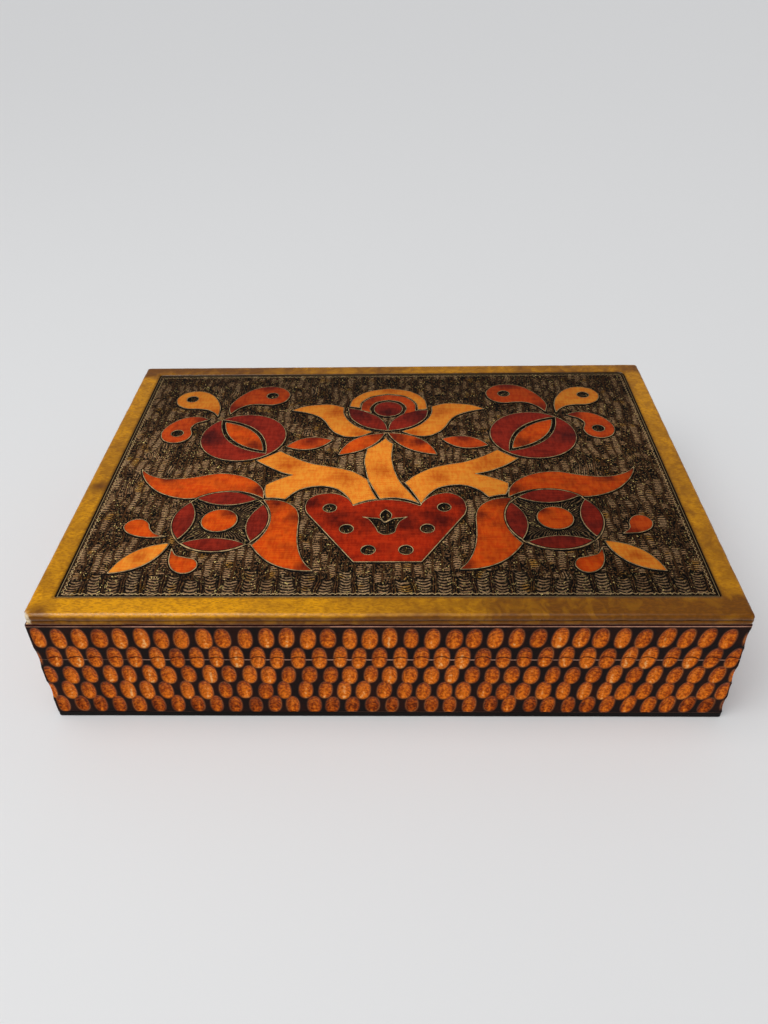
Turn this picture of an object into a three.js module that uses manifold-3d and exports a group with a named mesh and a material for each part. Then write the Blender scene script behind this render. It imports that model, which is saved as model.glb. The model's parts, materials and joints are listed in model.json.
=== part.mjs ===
// Carved wooden trinket box: a shallow box with mitred walls, a boarded lid on two brass butt hinges,
// and a thin boarded base. Millimetres, +X to the right, +Y to the back, +Z up. The origin lies on the
// surface that the box stands on, under the middle of its base, and the front looks towards -Y.
import * as THREE from "three";
import { mergeVertices } from "three/addons/utils/BufferGeometryUtils.js";
import Module from "manifold-3d";

const wasm = await Module();
wasm.setup();

// Box: outside size, boards and walls
const BOX_WIDTH = 280;
const BOX_DEPTH = 202.3;
const BASE_PANEL_THICKNESS = 2.7;
const BASE_WALL_HEIGHT = 32.3;
const LID_RAIL_HEIGHT = 19.4;
const LID_BOARD_THICKNESS = 5;
const WALL_THICKNESS = 9;

// Lid field: sunk inside the border, with the flower pot left standing in it
const SIDE_BORDER_WIDTH = 9.8;
const FRONT_BORDER_WIDTH = 10.65;
const BACK_BORDER_WIDTH = 9.65;
const FIELD_CORNER_ROUND = 1;
const FIELD_DEPTH = 0.6;
const SEED_BAND = 1.5;
const DROP_EYE_RADIUS = 2.6;
const POT_EYE_RADIUS = 2.9;
const DISC_SIDES = 28;
const EYE_SIDES = 8;
const CURVE_STEPS = 2;
const RELIEF_TOLERANCE = 0.05;

// Edges: roundings and small bevels
const WALL_CORNER_ROUND = 0.8;
const BOARD_CORNER_ROUND = 1.2;
const LID_EDGE_ROUND = 2.2;
const LID_UNDER_BEVEL = 0.3;
const BASE_PANEL_BEVEL = 0.3;
const CORNER_STEPS = 4;
const EDGE_ROUND_STEPS = 5;

// Back edges of the seam: bevelled from the hinge axis outwards, so that they meet when the lid stands open
const BACK_BEVEL_DEPTH = 1.2;
const LID_OPENING_ANGLE = THREE.MathUtils.degToRad(100);
const STOP_SLACK_ANGLE = THREE.MathUtils.degToRad(4);

// Hinges: brass butt hinges let into the seam faces
const HINGE_END_INSET = 45;
const HINGE_LENGTH = 25;
const LEAF_WIDTH = 6.4;
const LEAF_THICKNESS = 0.8;
const LEAF_SINK = 0.15;
const KNUCKLE_RADIUS = 1.6;
const KNUCKLE_COUNT = 3;
const KNUCKLE_GAP = 0.3;
const PIN_RADIUS = 0.7;
const PIN_CLEARANCE = 0.1;
const POCKET_CLEARANCE = 0.15;
const ROUND_SIDES = 24;

// Hinge nails: countersunk, in a row along each leaf
const NAILS_PER_LEAF = 3;
const NAIL_PITCH = 8;
const NAIL_HEAD_RADIUS = 1.25;
const NAIL_HEAD_DEPTH = 0.6;
const NAIL_SHANK_RADIUS = 0.55;
const NAIL_LENGTH = 8;
const NAIL_POINT_LENGTH = 1.2;
const NAIL_CLEARANCE = 0.1;
const NAIL_SIDES = 10;

// How far a cutter runs past the face it cuts
const CUT_OVERRUN = 1;

// Places that follow from the sizes
const HALF_WIDTH = BOX_WIDTH / 2;
const HALF_DEPTH = BOX_DEPTH / 2;
const FIELD_HALF_WIDTH = HALF_WIDTH - SIDE_BORDER_WIDTH;
const FIELD_FRONT = FRONT_BORDER_WIDTH - HALF_DEPTH;
const FIELD_BACK = HALF_DEPTH - BACK_BORDER_WIDTH;
const SEAM_Z = BASE_PANEL_THICKNESS + BASE_WALL_HEIGHT;
const HINGE_Y = HALF_DEPTH - BACK_BEVEL_DEPTH;
const HINGE_X = HALF_WIDTH - HINGE_END_INSET;
const KNUCKLE_PITCH = HINGE_LENGTH / KNUCKLE_COUNT;
const NAIL_Y = -(KNUCKLE_RADIUS + LEAF_WIDTH) / 2;

const carvedWood = new THREE.MeshStandardMaterial({ color: 0xb8601f, roughness: 0.5, metalness: 0 });
const lidWood = new THREE.MeshStandardMaterial({ color: 0xc08a14, roughness: 0.35, metalness: 0 });
const baseWood = new THREE.MeshStandardMaterial({ color: 0x2a1a10, roughness: 0.6, metalness: 0 });
const brass = new THREE.MeshStandardMaterial({ color: 0xb8964a, roughness: 0.35, metalness: 1 });

// Solids and geometries

// A closed geometry as a solid that can be cut and joined.
function solidOf(geometry) {
  const bare = geometry.clone();
  bare.deleteAttribute("normal");
  bare.deleteAttribute("uv");
  const merged = mergeVertices(bare);
  return new wasm.Manifold(
    new wasm.Mesh({
      numProp: 3,
      vertProperties: merged.attributes.position.array,
      triVerts: new Uint32Array(merged.index.array),
    }),
  );
}

// A solid as a geometry with flat faces.
function geometryOf(solid) {
  const mesh = solid.getMesh();
  const geometry = new THREE.BufferGeometry();
  geometry.setAttribute("position", new THREE.BufferAttribute(mesh.vertProperties, mesh.numProp));
  geometry.setIndex(new THREE.BufferAttribute(mesh.triVerts, 1));
  geometry.computeVertexNormals();
  return geometry;
}

// A box between two corners, given as [x, y, z].
function boxBetween(low, high) {
  const size = high.map((value, i) => value - low[i]);
  const middle = high.map((value, i) => (value + low[i]) / 2);
  return new THREE.BoxGeometry(...size).translate(...middle);
}

// A round bar along X, centred on the hinge axis, from one x to another.
function barAlongX(radius, fromX, toX) {
  return new THREE.CylinderGeometry(radius, radius, toX - fromX, ROUND_SIDES)
    .rotateZ(Math.PI / 2)
    .translate((fromX + toX) / 2, 0, 0);
}

// Boards: rounded rectangles stacked as layers of { z, inset }

// The corner-rounded outline of a board, drawn in by an inset, as points in order round it.
function boardOutline(inset) {
  const points = [];
  for (let corner = 0; corner < 4; corner++) {
    const signX = corner === 0 || corner === 3 ? 1 : -1;
    const signY = corner < 2 ? 1 : -1;
    const centreX = signX * (HALF_WIDTH - inset - BOARD_CORNER_ROUND);
    const centreY = signY * (HALF_DEPTH - inset - BOARD_CORNER_ROUND);
    for (let step = 0; step <= CORNER_STEPS; step++) {
      const angle = ((corner + step / CORNER_STEPS) * Math.PI) / 2;
      const [awayX, awayY] = [Math.cos(angle), Math.sin(angle)];
      points.push([centreX + BOARD_CORNER_ROUND * awayX, centreY + BOARD_CORNER_ROUND * awayY]);
    }
  }
  return points;
}

// A board whose edge follows its layers, from the lowest to the highest.
function layeredBoard(layers) {
  const loops = layers.map(({ z, inset }) => boardOutline(inset).map(([x, y]) => [x, y, z]));
  const perLoop = loops[0].length;
  const positions = loops.flat(2);
  const index = [];
  for (let layer = 0; layer + 1 < loops.length; layer++) {
    for (let i = 0; i < perLoop; i++) {
      const next = (i + 1) % perLoop;
      const [a, b] = [layer * perLoop + i, layer * perLoop + next];
      index.push(a, b, b + perLoop, a, b + perLoop, a + perLoop);
    }
  }
  const top = (loops.length - 1) * perLoop;
  for (let i = 1; i + 1 < perLoop; i++) {
    index.push(0, i + 1, i);
    index.push(top, top + i, top + i + 1);
  }
  const geometry = new THREE.BufferGeometry();
  geometry.setAttribute("position", new THREE.Float32BufferAttribute(positions, 3));
  geometry.setIndex(index);
  geometry.computeVertexNormals();
  return geometry;
}

// Lid ornament: places are shares of the box's half width and half depth, discs are shares of the half depth.
// An outline is a ring of stretches, each from the last one's end: one point is straight, more make a bend.

// What stands on the left of the lid, and again mirrored on the right.
const SIDE_OUTLINE_SHARES = {
  yellowDrop: [
    [[-0.65, 0.57], [-0.695, 0.69], [-0.745, 0.72], [-0.795, 0.7], [-0.82, 0.645], [-0.805, 0.58],
      [-0.77, 0.54], [-0.69, 0.525], [-0.64, 0.46]],
  ],
  upperDrop: [
    [[-0.605, 0.55], [-0.565, 0.69], [-0.525, 0.745], [-0.47, 0.765], [-0.42, 0.745], [-0.385, 0.68],
      [-0.4, 0.61], [-0.445, 0.575], [-0.535, 0.575], [-0.595, 0.48]],
  ],
  sideDrop: [
    [[-0.705, 0.455], [-0.75, 0.445], [-0.79, 0.41], [-0.815, 0.355], [-0.825, 0.295], [-0.805, 0.235],
      [-0.77, 0.21], [-0.73, 0.235], [-0.715, 0.285], [-0.725, 0.345], [-0.665, 0.43]],
  ],
  lowerDrop: [
    [[-0.625, -0.645], [-0.565, -0.675], [-0.555, -0.715], [-0.57, -0.75], [-0.595, -0.755], [-0.64, -0.675],
      [-0.645, -0.605]],
  ],
  nearDrop: [
    [[-0.735, -0.475], [-0.745, -0.43], [-0.77, -0.405], [-0.8, -0.41], [-0.82, -0.45], [-0.805, -0.49],
      [-0.73, -0.53], [-0.675, -0.52]],
  ],
  longLeaf: [
    [[-0.76, -0.095], [-0.705, -0.1], [-0.58, -0.06], [-0.53, -0.065], [-0.475, -0.09], [-0.435, -0.14],
      [-0.4, -0.255]],
    [[-0.51, -0.195], [-0.62, -0.25]],
    [[-0.705, -0.235], [-0.755, -0.195], [-0.8, -0.13], [-0.84, -0.02]],
  ],
  broadLeaf: [
    [[-0.365, -0.425], [-0.405, -0.585]],
    [[-0.38, -0.635], [-0.35, -0.685], [-0.305, -0.72], [-0.21, -0.745]],
    [[-0.26, -0.63], [-0.27, -0.555], [-0.275, -0.395], [-0.29, -0.335], [-0.32, -0.29], [-0.4, -0.265]],
  ],
  slimLeaf: [
    [[-0.755, -0.625], [-0.81, -0.755]],
    [[-0.71, -0.7], [-0.655, -0.57]],
  ],
  smallLeaf: [
    [[-0.29, 0.25], [-0.2, 0.225]],
    [[-0.27, 0.145], [-0.36, 0.17]],
  ],
  sepal: [
    [[-0.12, 0.23], [-0.175, 0.095]],
    [[-0.07, 0.16], [-0.015, 0.285]],
  ],
  wing: [
    [[-0.32, 0.55], [-0.27, 0.565], [-0.22, 0.57], [-0.17, 0.54]],
    [[-0.17, 0.47], [-0.145, 0.4], [-0.11, 0.34], [-0.06, 0.3]],
    [[-0.105, 0.26], [-0.15, 0.255], [-0.19, 0.29], [-0.235, 0.4], [-0.26, 0.45], [-0.305, 0.49],
      [-0.365, 0.515]],
  ],
  rosePetal: [
    [[-0.145, 0.425], [-0.1, 0.36], [-0.005, 0.31]],
    [[-0.03, 0.425], [-0.065, 0.47], [-0.11, 0.51], [-0.155, 0.53]],
  ],
  branch: [
    [[-0.11, -0.06], [-0.15, -0.03], [-0.205, -0.005], [-0.265, 0.02], [-0.325, 0.07], [-0.38, 0.13]],
    [[-0.455, 0.05]],
    [[-0.405, 0], [-0.36, -0.045], [-0.32, -0.075]],
    [[-0.405, -0.15]],
    [[-0.39, -0.25]],
    [[-0.33, -0.26]],
    [[-0.3, -0.205], [-0.26, -0.17], [-0.21, -0.16], [-0.165, -0.185], [-0.13, -0.24], [-0.11, -0.31]],
    [[-0.035, -0.265]],
    [[-0.07, -0.115]],
  ],
};

// What stands in the middle.
const MIDDLE_OUTLINE_SHARES = {
  stem: [
    [[-0.075, 0.145]],
    [[-0.08, 0.045], [-0.075, -0.025], [-0.065, -0.11], [-0.045, -0.19], [-0.025, -0.26]],
    [[0.1, -0.295]],
    [[0.07, -0.21], [0.04, -0.13], [0.02, -0.03], [0.01, 0.075], [0.015, 0.19]],
    [[-0.01, 0.245]],
  ],
  pot: [
    [[0.1, -0.69]],
    [[0.245, -0.375]],
    [[0.25, -0.33], [0.23, -0.25], [0.19, -0.22], [0.145, -0.235], [0.11, -0.315]],
    [[0, -0.27], [-0.11, -0.315]],
    [[-0.145, -0.235], [-0.19, -0.22], [-0.23, -0.25], [-0.25, -0.33], [-0.245, -0.375]],
    [[-0.1, -0.69]],
  ],
};

const ROSE_CENTRE_SHARES = [0, 0.52];
const ROSE_DISC_SHARES = { arch: 0.213, archInner: 0.16, ring: 0.15, ringInner: 0.093, heart: 0.075 };
const FRUIT_CENTRE_SHARES = [-0.522, 0.26];
const FRUIT_RADIUS_SHARE = 0.21;
const SEED_RADIUS_SHARE = 0.283;
const SEED_CHORD_SHARE = 0.86;
const SEED_ANGLE = THREE.MathUtils.degToRad(40);
const WHEEL_CENTRE_SHARES = [-0.522, -0.413];
const WHEEL_RADIUS_SHARE = 0.21;
const HUB_RADIUS_SHARE = 0.077;
const PETAL_INNER_SHARE = 0.53;
const DROP_EYE_SHARES = [[-0.76, 0.635], [-0.455, 0.668], [-0.768, 0.297]];
const POT_EYE_SHARES = [[-0.182, -0.328], [-0.124, -0.476], [-0.056, -0.615]];
const TULIP_SHARES = [
  [[-0.035, -0.41], [-0.005, -0.435]],
  [[0.035, -0.4], [0.066, -0.393]],
  [[0.03, -0.48], [0, -0.516], [-0.035, -0.48], [-0.076, -0.393]],
];

// A place on the lid from its shares.
function onLid([shareX, shareY]) {
  return new THREE.Vector2(shareX * HALF_WIDTH, shareY * HALF_DEPTH);
}

// A section from a ring of stretches.
function sectionOf(stretches) {
  const points = [];
  let start = stretches.at(-1).at(-1);
  for (const stretch of stretches) {
    const curve = new THREE.SplineCurve([start, ...stretch].map(onLid));
    const steps = stretch.length === 1 ? 1 : stretch.length * CURVE_STEPS;
    points.push(...curve.getPoints(steps).slice(0, -1));
    start = stretch.at(-1);
  }
  return new wasm.CrossSection([points.map(({ x, y }) => [x, y])], "NonZero");
}

// A disc on the lid.
function discAt(centreShares, radius, sides = DISC_SIDES) {
  return wasm.CrossSection.circle(radius, sides).translate(onLid(centreShares).toArray());
}

// The band between two discs of the rose, above its middle.
function roseBand(outerShare, innerShare) {
  const outer = discAt(ROSE_CENTRE_SHARES, outerShare * HALF_DEPTH);
  const inner = discAt(ROSE_CENTRE_SHARES, innerShare * HALF_DEPTH);
  const upperHalf = wasm.CrossSection.square([2 * HALF_WIDTH, HALF_DEPTH]);
  return outer.subtract(inner).intersect(upperHalf.translate(-HALF_WIDTH, onLid(ROSE_CENTRE_SHARES).y));
}

// A pomegranate: a disc parted by a band round its seed, which is where two discs overlap.
function pomegranate() {
  const { x, y } = onLid(FRUIT_CENTRE_SHARES);
  const radius = FRUIT_RADIUS_SHARE * HALF_DEPTH;
  const seedRadius = SEED_RADIUS_SHARE * HALF_DEPTH;
  const offset = Math.sqrt(seedRadius ** 2 - radius ** 2 * SEED_CHORD_SHARE ** 2);
  const [awayX, awayY] = [offset * Math.cos(SEED_ANGLE), offset * Math.sin(SEED_ANGLE)];
  const disc = wasm.CrossSection.circle(seedRadius, DISC_SIDES);
  const seed = disc.translate(awayX, awayY).intersect(disc.translate(-awayX, -awayY)).translate(x, y);
  return discAt(FRUIT_CENTRE_SHARES, radius).subtract(seed.offset(SEED_BAND, "Miter")).add(seed);
}

// A wheel flower: a hub and four petals, each where the rim's disc and its copy further out overlap.
function wheelFlower() {
  const radius = WHEEL_RADIUS_SHARE * HALF_DEPTH;
  const rim = wasm.CrossSection.circle(radius, DISC_SIDES);
  const reach = radius * (1 + PETAL_INNER_SHARE);
  const outward = [[reach, 0], [-reach, 0], [0, reach], [0, -reach]];
  const petals = outward.map((away) => rim.intersect(rim.translate(away)));
  const hub = wasm.CrossSection.circle(HUB_RADIUS_SHARE * HALF_DEPTH, DISC_SIDES);
  return wasm.CrossSection.union([hub, ...petals]).translate(onLid(WHEEL_CENTRE_SHARES).toArray());
}

// The whole ornament: the side's shapes twice and the middle's, less the eyes and the tulip.
function flowerPot() {
  const sides = wasm.CrossSection.union([
    ...Object.values(SIDE_OUTLINE_SHARES).map(sectionOf), pomegranate(), wheelFlower(),
  ]);
  const eyes = wasm.CrossSection.union([
    ...DROP_EYE_SHARES.map((place) => discAt(place, DROP_EYE_RADIUS, EYE_SIDES)),
    ...POT_EYE_SHARES.map((place) => discAt(place, POT_EYE_RADIUS, EYE_SIDES)),
  ]);
  const middle = wasm.CrossSection.union([
    ...Object.values(MIDDLE_OUTLINE_SHARES).map(sectionOf),
    roseBand(ROSE_DISC_SHARES.arch, ROSE_DISC_SHARES.archInner),
    roseBand(ROSE_DISC_SHARES.ring, ROSE_DISC_SHARES.ringInner),
    discAt(ROSE_CENTRE_SHARES, ROSE_DISC_SHARES.heart * HALF_DEPTH),
  ]);
  return middle
    .add(sides)
    .add(sides.mirror([1, 0]))
    .subtract(eyes.add(eyes.mirror([1, 0])))
    .subtract(sectionOf(TULIP_SHARES));
}

// The field inside the border, with rounded corners.
function fieldSection() {
  const [width, depth] = [2 * FIELD_HALF_WIDTH, FIELD_BACK - FIELD_FRONT];
  return wasm.CrossSection.square([width - 2 * FIELD_CORNER_ROUND, depth - 2 * FIELD_CORNER_ROUND])
    .offset(FIELD_CORNER_ROUND, "Round", 2, ROUND_SIDES)
    .translate(FIELD_CORNER_ROUND - FIELD_HALF_WIDTH, FIELD_FRONT + FIELD_CORNER_ROUND);
}

// The lid board: a small bevel underneath, a full round on its top edge, and a sunk field with the ornament.
function lidBoard() {
  const layers = [
    { z: 0, inset: LID_UNDER_BEVEL },
    { z: LID_UNDER_BEVEL, inset: 0 },
  ];
  for (let step = 0; step <= EDGE_ROUND_STEPS; step++) {
    const angle = ((step / EDGE_ROUND_STEPS) * Math.PI) / 2;
    layers.push({
      z: LID_BOARD_THICKNESS - LID_EDGE_ROUND * (1 - Math.sin(angle)),
      inset: LID_EDGE_ROUND * (1 - Math.cos(angle)),
    });
  }
  const ground = fieldSection()
    .subtract(flowerPot())
    .simplify(RELIEF_TOLERANCE)
    .extrude(FIELD_DEPTH + CUT_OVERRUN)
    .translate(0, 0, LID_BOARD_THICKNESS - FIELD_DEPTH);
  return geometryOf(solidOf(layeredBoard(layers)).subtract(ground));
}

// The base panel: a thin board whose lower edge is eased.
function basePanel() {
  return layeredBoard([
    { z: 0, inset: BASE_PANEL_BEVEL },
    { z: BASE_PANEL_BEVEL, inset: 0 },
    { z: BASE_PANEL_THICKNESS, inset: 0 },
  ]);
}

// Walls: mitred at both ends, with the box's rounded corner shared at each mitre

// One wall along the front of a box of the given half sizes, standing on z = 0.
function mitredWall(halfLength, halfReach, height) {
  const outline = new THREE.Shape();
  const centreX = halfLength - WALL_CORNER_ROUND;
  const centreY = WALL_CORNER_ROUND - halfReach;
  outline.moveTo(WALL_THICKNESS - halfLength, WALL_THICKNESS - halfReach);
  outline.absarc(-centreX, centreY, WALL_CORNER_ROUND, (5 / 4) * Math.PI, (3 / 2) * Math.PI, false);
  outline.absarc(centreX, centreY, WALL_CORNER_ROUND, (3 / 2) * Math.PI, (7 / 4) * Math.PI, false);
  outline.lineTo(halfLength - WALL_THICKNESS, WALL_THICKNESS - halfReach);
  outline.closePath();
  const options = { depth: height, bevelEnabled: false, curveSegments: CORNER_STEPS };
  return new THREE.ExtrudeGeometry(outline, options);
}

// The four walls of one half of the box, by side, with their feet on z = 0.
function wallRing(height) {
  return {
    front: mitredWall(HALF_WIDTH, HALF_DEPTH, height),
    right: mitredWall(HALF_DEPTH, HALF_WIDTH, height).rotateZ(Math.PI / 2),
    back: mitredWall(HALF_WIDTH, HALF_DEPTH, height).rotateZ(Math.PI),
    left: mitredWall(HALF_DEPTH, HALF_WIDTH, height).rotateZ(-Math.PI / 2),
  };
}

// The V that bevels both back edges of the seam, as a prism along X with its point on the hinge axis.
function backBevelCutter() {
  const run = BACK_BEVEL_DEPTH + CUT_OVERRUN;
  const rise = run * Math.tan((LID_OPENING_ANGLE + STOP_SLACK_ANGLE) / 2);
  const section = new THREE.Shape();
  section.moveTo(0, 0);
  section.lineTo(run, -rise);
  section.lineTo(run, rise);
  section.closePath();
  const length = BOX_WIDTH + 2 * CUT_OVERRUN;
  return new THREE.ExtrudeGeometry(section, { depth: length, bevelEnabled: false })
    .translate(0, 0, -length / 2)
    .rotateX(Math.PI / 2)
    .rotateZ(Math.PI / 2)
    .translate(0, HINGE_Y, 0);
}

// Hinges, drawn about the hinge axis: the leaf reaches towards -Y, on the upper side of the seam

// The x range of one knuckle, drawn in by half the gap to the next one.
function knuckleSpan(knuckle) {
  const start = knuckle * KNUCKLE_PITCH - HINGE_LENGTH / 2;
  return [start + KNUCKLE_GAP / 2, start + KNUCKLE_PITCH - KNUCKLE_GAP / 2];
}

// A countersunk nail pointing up, its head flush with the leaf's face, grown all round by a clearance.
function nail(clearance) {
  const head = LEAF_SINK - clearance;
  const neck = LEAF_SINK + NAIL_HEAD_DEPTH;
  const tip = LEAF_SINK + NAIL_LENGTH + clearance;
  const profile = [
    [0, head],
    [NAIL_HEAD_RADIUS + clearance, head],
    [NAIL_SHANK_RADIUS + clearance, neck],
    [NAIL_SHANK_RADIUS + clearance, tip - NAIL_POINT_LENGTH],
    [0, tip],
  ];
  return new THREE.LatheGeometry(
    profile.map(([radius, height]) => new THREE.Vector2(radius, height)),
    NAIL_SIDES,
  ).rotateX(Math.PI / 2);
}

// The places of a leaf's nails along X.
function nailPlaces() {
  return Array.from({ length: NAILS_PER_LEAF }, (_, i) => (i - (NAILS_PER_LEAF - 1) / 2) * NAIL_PITCH);
}

// One leaf's nails, grown all round by a clearance, as one solid that cuts their holes.
function nailHoles(clearance) {
  const nails = nailPlaces().map((x) => solidOf(nail(clearance).translate(x, NAIL_Y, 0)));
  return nails.reduce((all, one) => all.add(one));
}

// A leaf with every second knuckle, starting at the given one, bored for the pin and the nails.
function hingeLeaf(firstKnuckle) {
  const halfLength = HINGE_LENGTH / 2;
  const outer = LEAF_SINK + LEAF_THICKNESS;
  let leaf = solidOf(boxBetween([-halfLength, -LEAF_WIDTH, LEAF_SINK], [halfLength, 0, outer]));
  for (let knuckle = 0; knuckle < KNUCKLE_COUNT; knuckle++) {
    const [fromX, toX] = knuckleSpan(knuckle);
    if (knuckle % 2 === firstKnuckle) {
      leaf = leaf.add(solidOf(barAlongX(KNUCKLE_RADIUS, fromX, toX)));
    } else {
      const reach = KNUCKLE_RADIUS + KNUCKLE_GAP;
      const low = [fromX - KNUCKLE_GAP, -reach, -reach];
      leaf = leaf.subtract(solidOf(boxBetween(low, [toX + KNUCKLE_GAP, reach, reach])));
    }
  }
  const bore = barAlongX(PIN_RADIUS + PIN_CLEARANCE, -HINGE_LENGTH, HINGE_LENGTH);
  return leaf.subtract(solidOf(bore)).subtract(nailHoles(NAIL_CLEARANCE));
}

// What a hinge takes out of the wood on its side: the leaf's pocket, the knuckles' notch and the nail holes.
function hingePocket() {
  const halfLength = HINGE_LENGTH / 2 + POCKET_CLEARANCE;
  const notch = KNUCKLE_RADIUS + POCKET_CLEARANCE;
  const back = BACK_BEVEL_DEPTH + CUT_OVERRUN;
  const floor = LEAF_SINK + LEAF_THICKNESS + POCKET_CLEARANCE;
  const edge = -LEAF_WIDTH - POCKET_CLEARANCE;
  const leafPocket = boxBetween([-halfLength, edge, -CUT_OVERRUN], [halfLength, 0, floor]);
  const knuckleNotch = boxBetween([-halfLength, -notch, -CUT_OVERRUN], [halfLength, back, notch]);
  return solidOf(leafPocket).add(solidOf(knuckleNotch)).add(nailHoles(NAIL_CLEARANCE));
}

// Assembly

function piece(name, geometry, material) {
  const mesh = new THREE.Mesh(geometry, material);
  mesh.name = name;
  return mesh;
}

const HINGES = [
  { side: "left", x: -HINGE_X },
  { side: "right", x: HINGE_X },
];

// One half of the box's walls, cut for the back bevel and the hinges. The lower half hangs below the seam.
function cutWalls(height, isLower) {
  const ring = wallRing(height);
  const bevel = solidOf(backBevelCutter());
  const cut = {};
  for (const [side, geometry] of Object.entries(ring)) {
    let wall = solidOf(geometry.translate(0, 0, isLower ? -height : 0));
    if (side !== "front") wall = wall.subtract(bevel);
    if (side === "back") {
      for (const { x } of HINGES) {
        const pocket = geometryOf(hingePocket());
        if (isLower) pocket.rotateY(Math.PI);
        wall = wall.subtract(solidOf(pocket.translate(x, HINGE_Y, 0)));
      }
    }
    cut[side] = geometryOf(wall);
  }
  return cut;
}

// Base: everything below the seam, with the pins, drawn from the seam plane
const base = new THREE.Group();
base.position.z = SEAM_Z;
for (const [side, geometry] of Object.entries(cutWalls(BASE_WALL_HEIGHT, true))) {
  base.add(piece(`base_${side}_wall`, geometry, carvedWood));
}
const panel = piece("base_panel", basePanel(), baseWood);
panel.position.z = -SEAM_Z;
base.add(panel);

// Lid: everything above the seam, in a group on the hinge axis, so that turning the group opens it
const lid = new THREE.Group();
lid.position.set(0, HINGE_Y, SEAM_Z);
for (const [side, geometry] of Object.entries(cutWalls(LID_RAIL_HEIGHT, false))) {
  const rail = piece(`lid_${side}_rail`, geometry, carvedWood);
  rail.position.y = -HINGE_Y;
  lid.add(rail);
}
const board = piece("top_panel", lidBoard(), lidWood);
board.position.set(0, -HINGE_Y, LID_RAIL_HEIGHT);
lid.add(board);

// One side of a hinge: its leaf and the nails that hold it, drawn about the hinge axis.
function hingeHalf(name, firstKnuckle, isLower) {
  const half = new THREE.Group();
  half.add(piece(`${name}_leaf`, geometryOf(hingeLeaf(firstKnuckle)), brass));
  nailPlaces().forEach((x, i) => {
    const peg = piece(`${name}_nail_${i + 1}`, nail(0), brass);
    peg.position.set(x, NAIL_Y, 0);
    half.add(peg);
  });
  if (isLower) half.rotation.y = Math.PI;
  return half;
}

for (const { side, x } of HINGES) {
  const lidHalf = hingeHalf(`${side}_hinge_lid`, 1, false);
  lidHalf.position.x = x;
  lid.add(lidHalf);

  const baseHalf = hingeHalf(`${side}_hinge_base`, 0, true);
  baseHalf.position.set(x, HINGE_Y, 0);
  base.add(baseHalf);

  const pin = piece(`${side}_hinge_pin`, barAlongX(PIN_RADIUS, -HINGE_LENGTH / 2, HINGE_LENGTH / 2), brass);
  pin.position.set(x, HINGE_Y, 0);
  base.add(pin);
}

const trinketBox = new THREE.Group();
trinketBox.add(base, lid);

export default trinketBox;
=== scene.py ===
"""Looks of a carved wooden trinket box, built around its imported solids.

The walls are a dark stained skin cut through by five rows of gouge scoops, one of them across the seam. The
lid is a mustard-bordered board with a stained flower pot on a burnt, rippled ground. Sizes in the classes are
millimetres.
"""

import json
import logging
import math
from dataclasses import dataclass, field
from enum import Enum

import bpy
import numpy as np
from mathutils import Matrix, Vector


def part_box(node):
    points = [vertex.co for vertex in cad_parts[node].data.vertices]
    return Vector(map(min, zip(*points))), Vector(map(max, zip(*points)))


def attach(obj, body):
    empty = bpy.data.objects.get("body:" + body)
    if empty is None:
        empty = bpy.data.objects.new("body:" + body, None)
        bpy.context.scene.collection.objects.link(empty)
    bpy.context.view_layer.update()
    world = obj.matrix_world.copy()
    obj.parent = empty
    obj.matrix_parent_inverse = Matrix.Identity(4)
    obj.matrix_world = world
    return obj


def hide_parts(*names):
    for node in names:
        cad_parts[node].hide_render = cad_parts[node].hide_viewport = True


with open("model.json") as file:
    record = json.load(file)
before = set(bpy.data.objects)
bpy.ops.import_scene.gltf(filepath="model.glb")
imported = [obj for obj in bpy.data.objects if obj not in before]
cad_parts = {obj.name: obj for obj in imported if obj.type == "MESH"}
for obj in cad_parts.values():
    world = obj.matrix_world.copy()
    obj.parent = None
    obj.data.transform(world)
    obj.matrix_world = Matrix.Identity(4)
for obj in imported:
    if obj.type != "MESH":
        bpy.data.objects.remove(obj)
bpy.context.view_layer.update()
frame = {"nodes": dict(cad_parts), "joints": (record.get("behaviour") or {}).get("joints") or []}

logging.basicConfig(level=logging.INFO, format="%(levelname)s %(message)s")
LOG = logging.getLogger("trinket_box")

MM = 0.001
TINY = 1e-12

Point = tuple[float, float]
Place = tuple[float, float, float]
Colour = tuple[float, float, float]
Material = bpy.types.Material
Piece = bpy.types.Object
Socket = bpy.types.NodeSocket


def linear(red: int, green: int, blue: int) -> Colour:
    """A screen colour made linear: c / 12.92 near black, or else ((c + 0.055) / 1.055) ** 2.4."""
    shares = [channel / 255 for channel in (red, green, blue)]
    return tuple(c / 12.92 if c <= 0.04045 else ((c + 0.055) / 1.055) ** 2.4 for c in shares)


# Array helpers


def smooth_step(low: float, high: float, value: np.ndarray) -> np.ndarray:
    """Rises from 0 at low to 1 at high as 3t^2 - 2t^3."""
    t = np.clip((value - low) / (high - low), 0.0, 1.0)
    return t * t * (3.0 - 2.0 * t)


def bell(value: np.ndarray, width: float) -> np.ndarray:
    """A bell curve, exp(-(value / width)^2)."""
    return np.exp(-((value / width) ** 2))


LATTICE_TURNS = (127.1, 311.7, 74.7)
LATTICE_SWING = 43758.5453


def lattice_value(column: np.ndarray, row: np.ndarray | float, seed: float) -> np.ndarray:
    """Gives each cell of a lattice its own steady number from 0 to 1: the fraction of a large sine.

    Args:
        column, row: the cell's whole coordinates.
        seed: picks the pattern.

    Returns:
        The cells' numbers.
    """
    by_column, by_row, by_seed = LATTICE_TURNS
    swing = np.sin(column * by_column + row * by_row + seed * by_seed) * LATTICE_SWING
    return swing - np.floor(swing)


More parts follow.
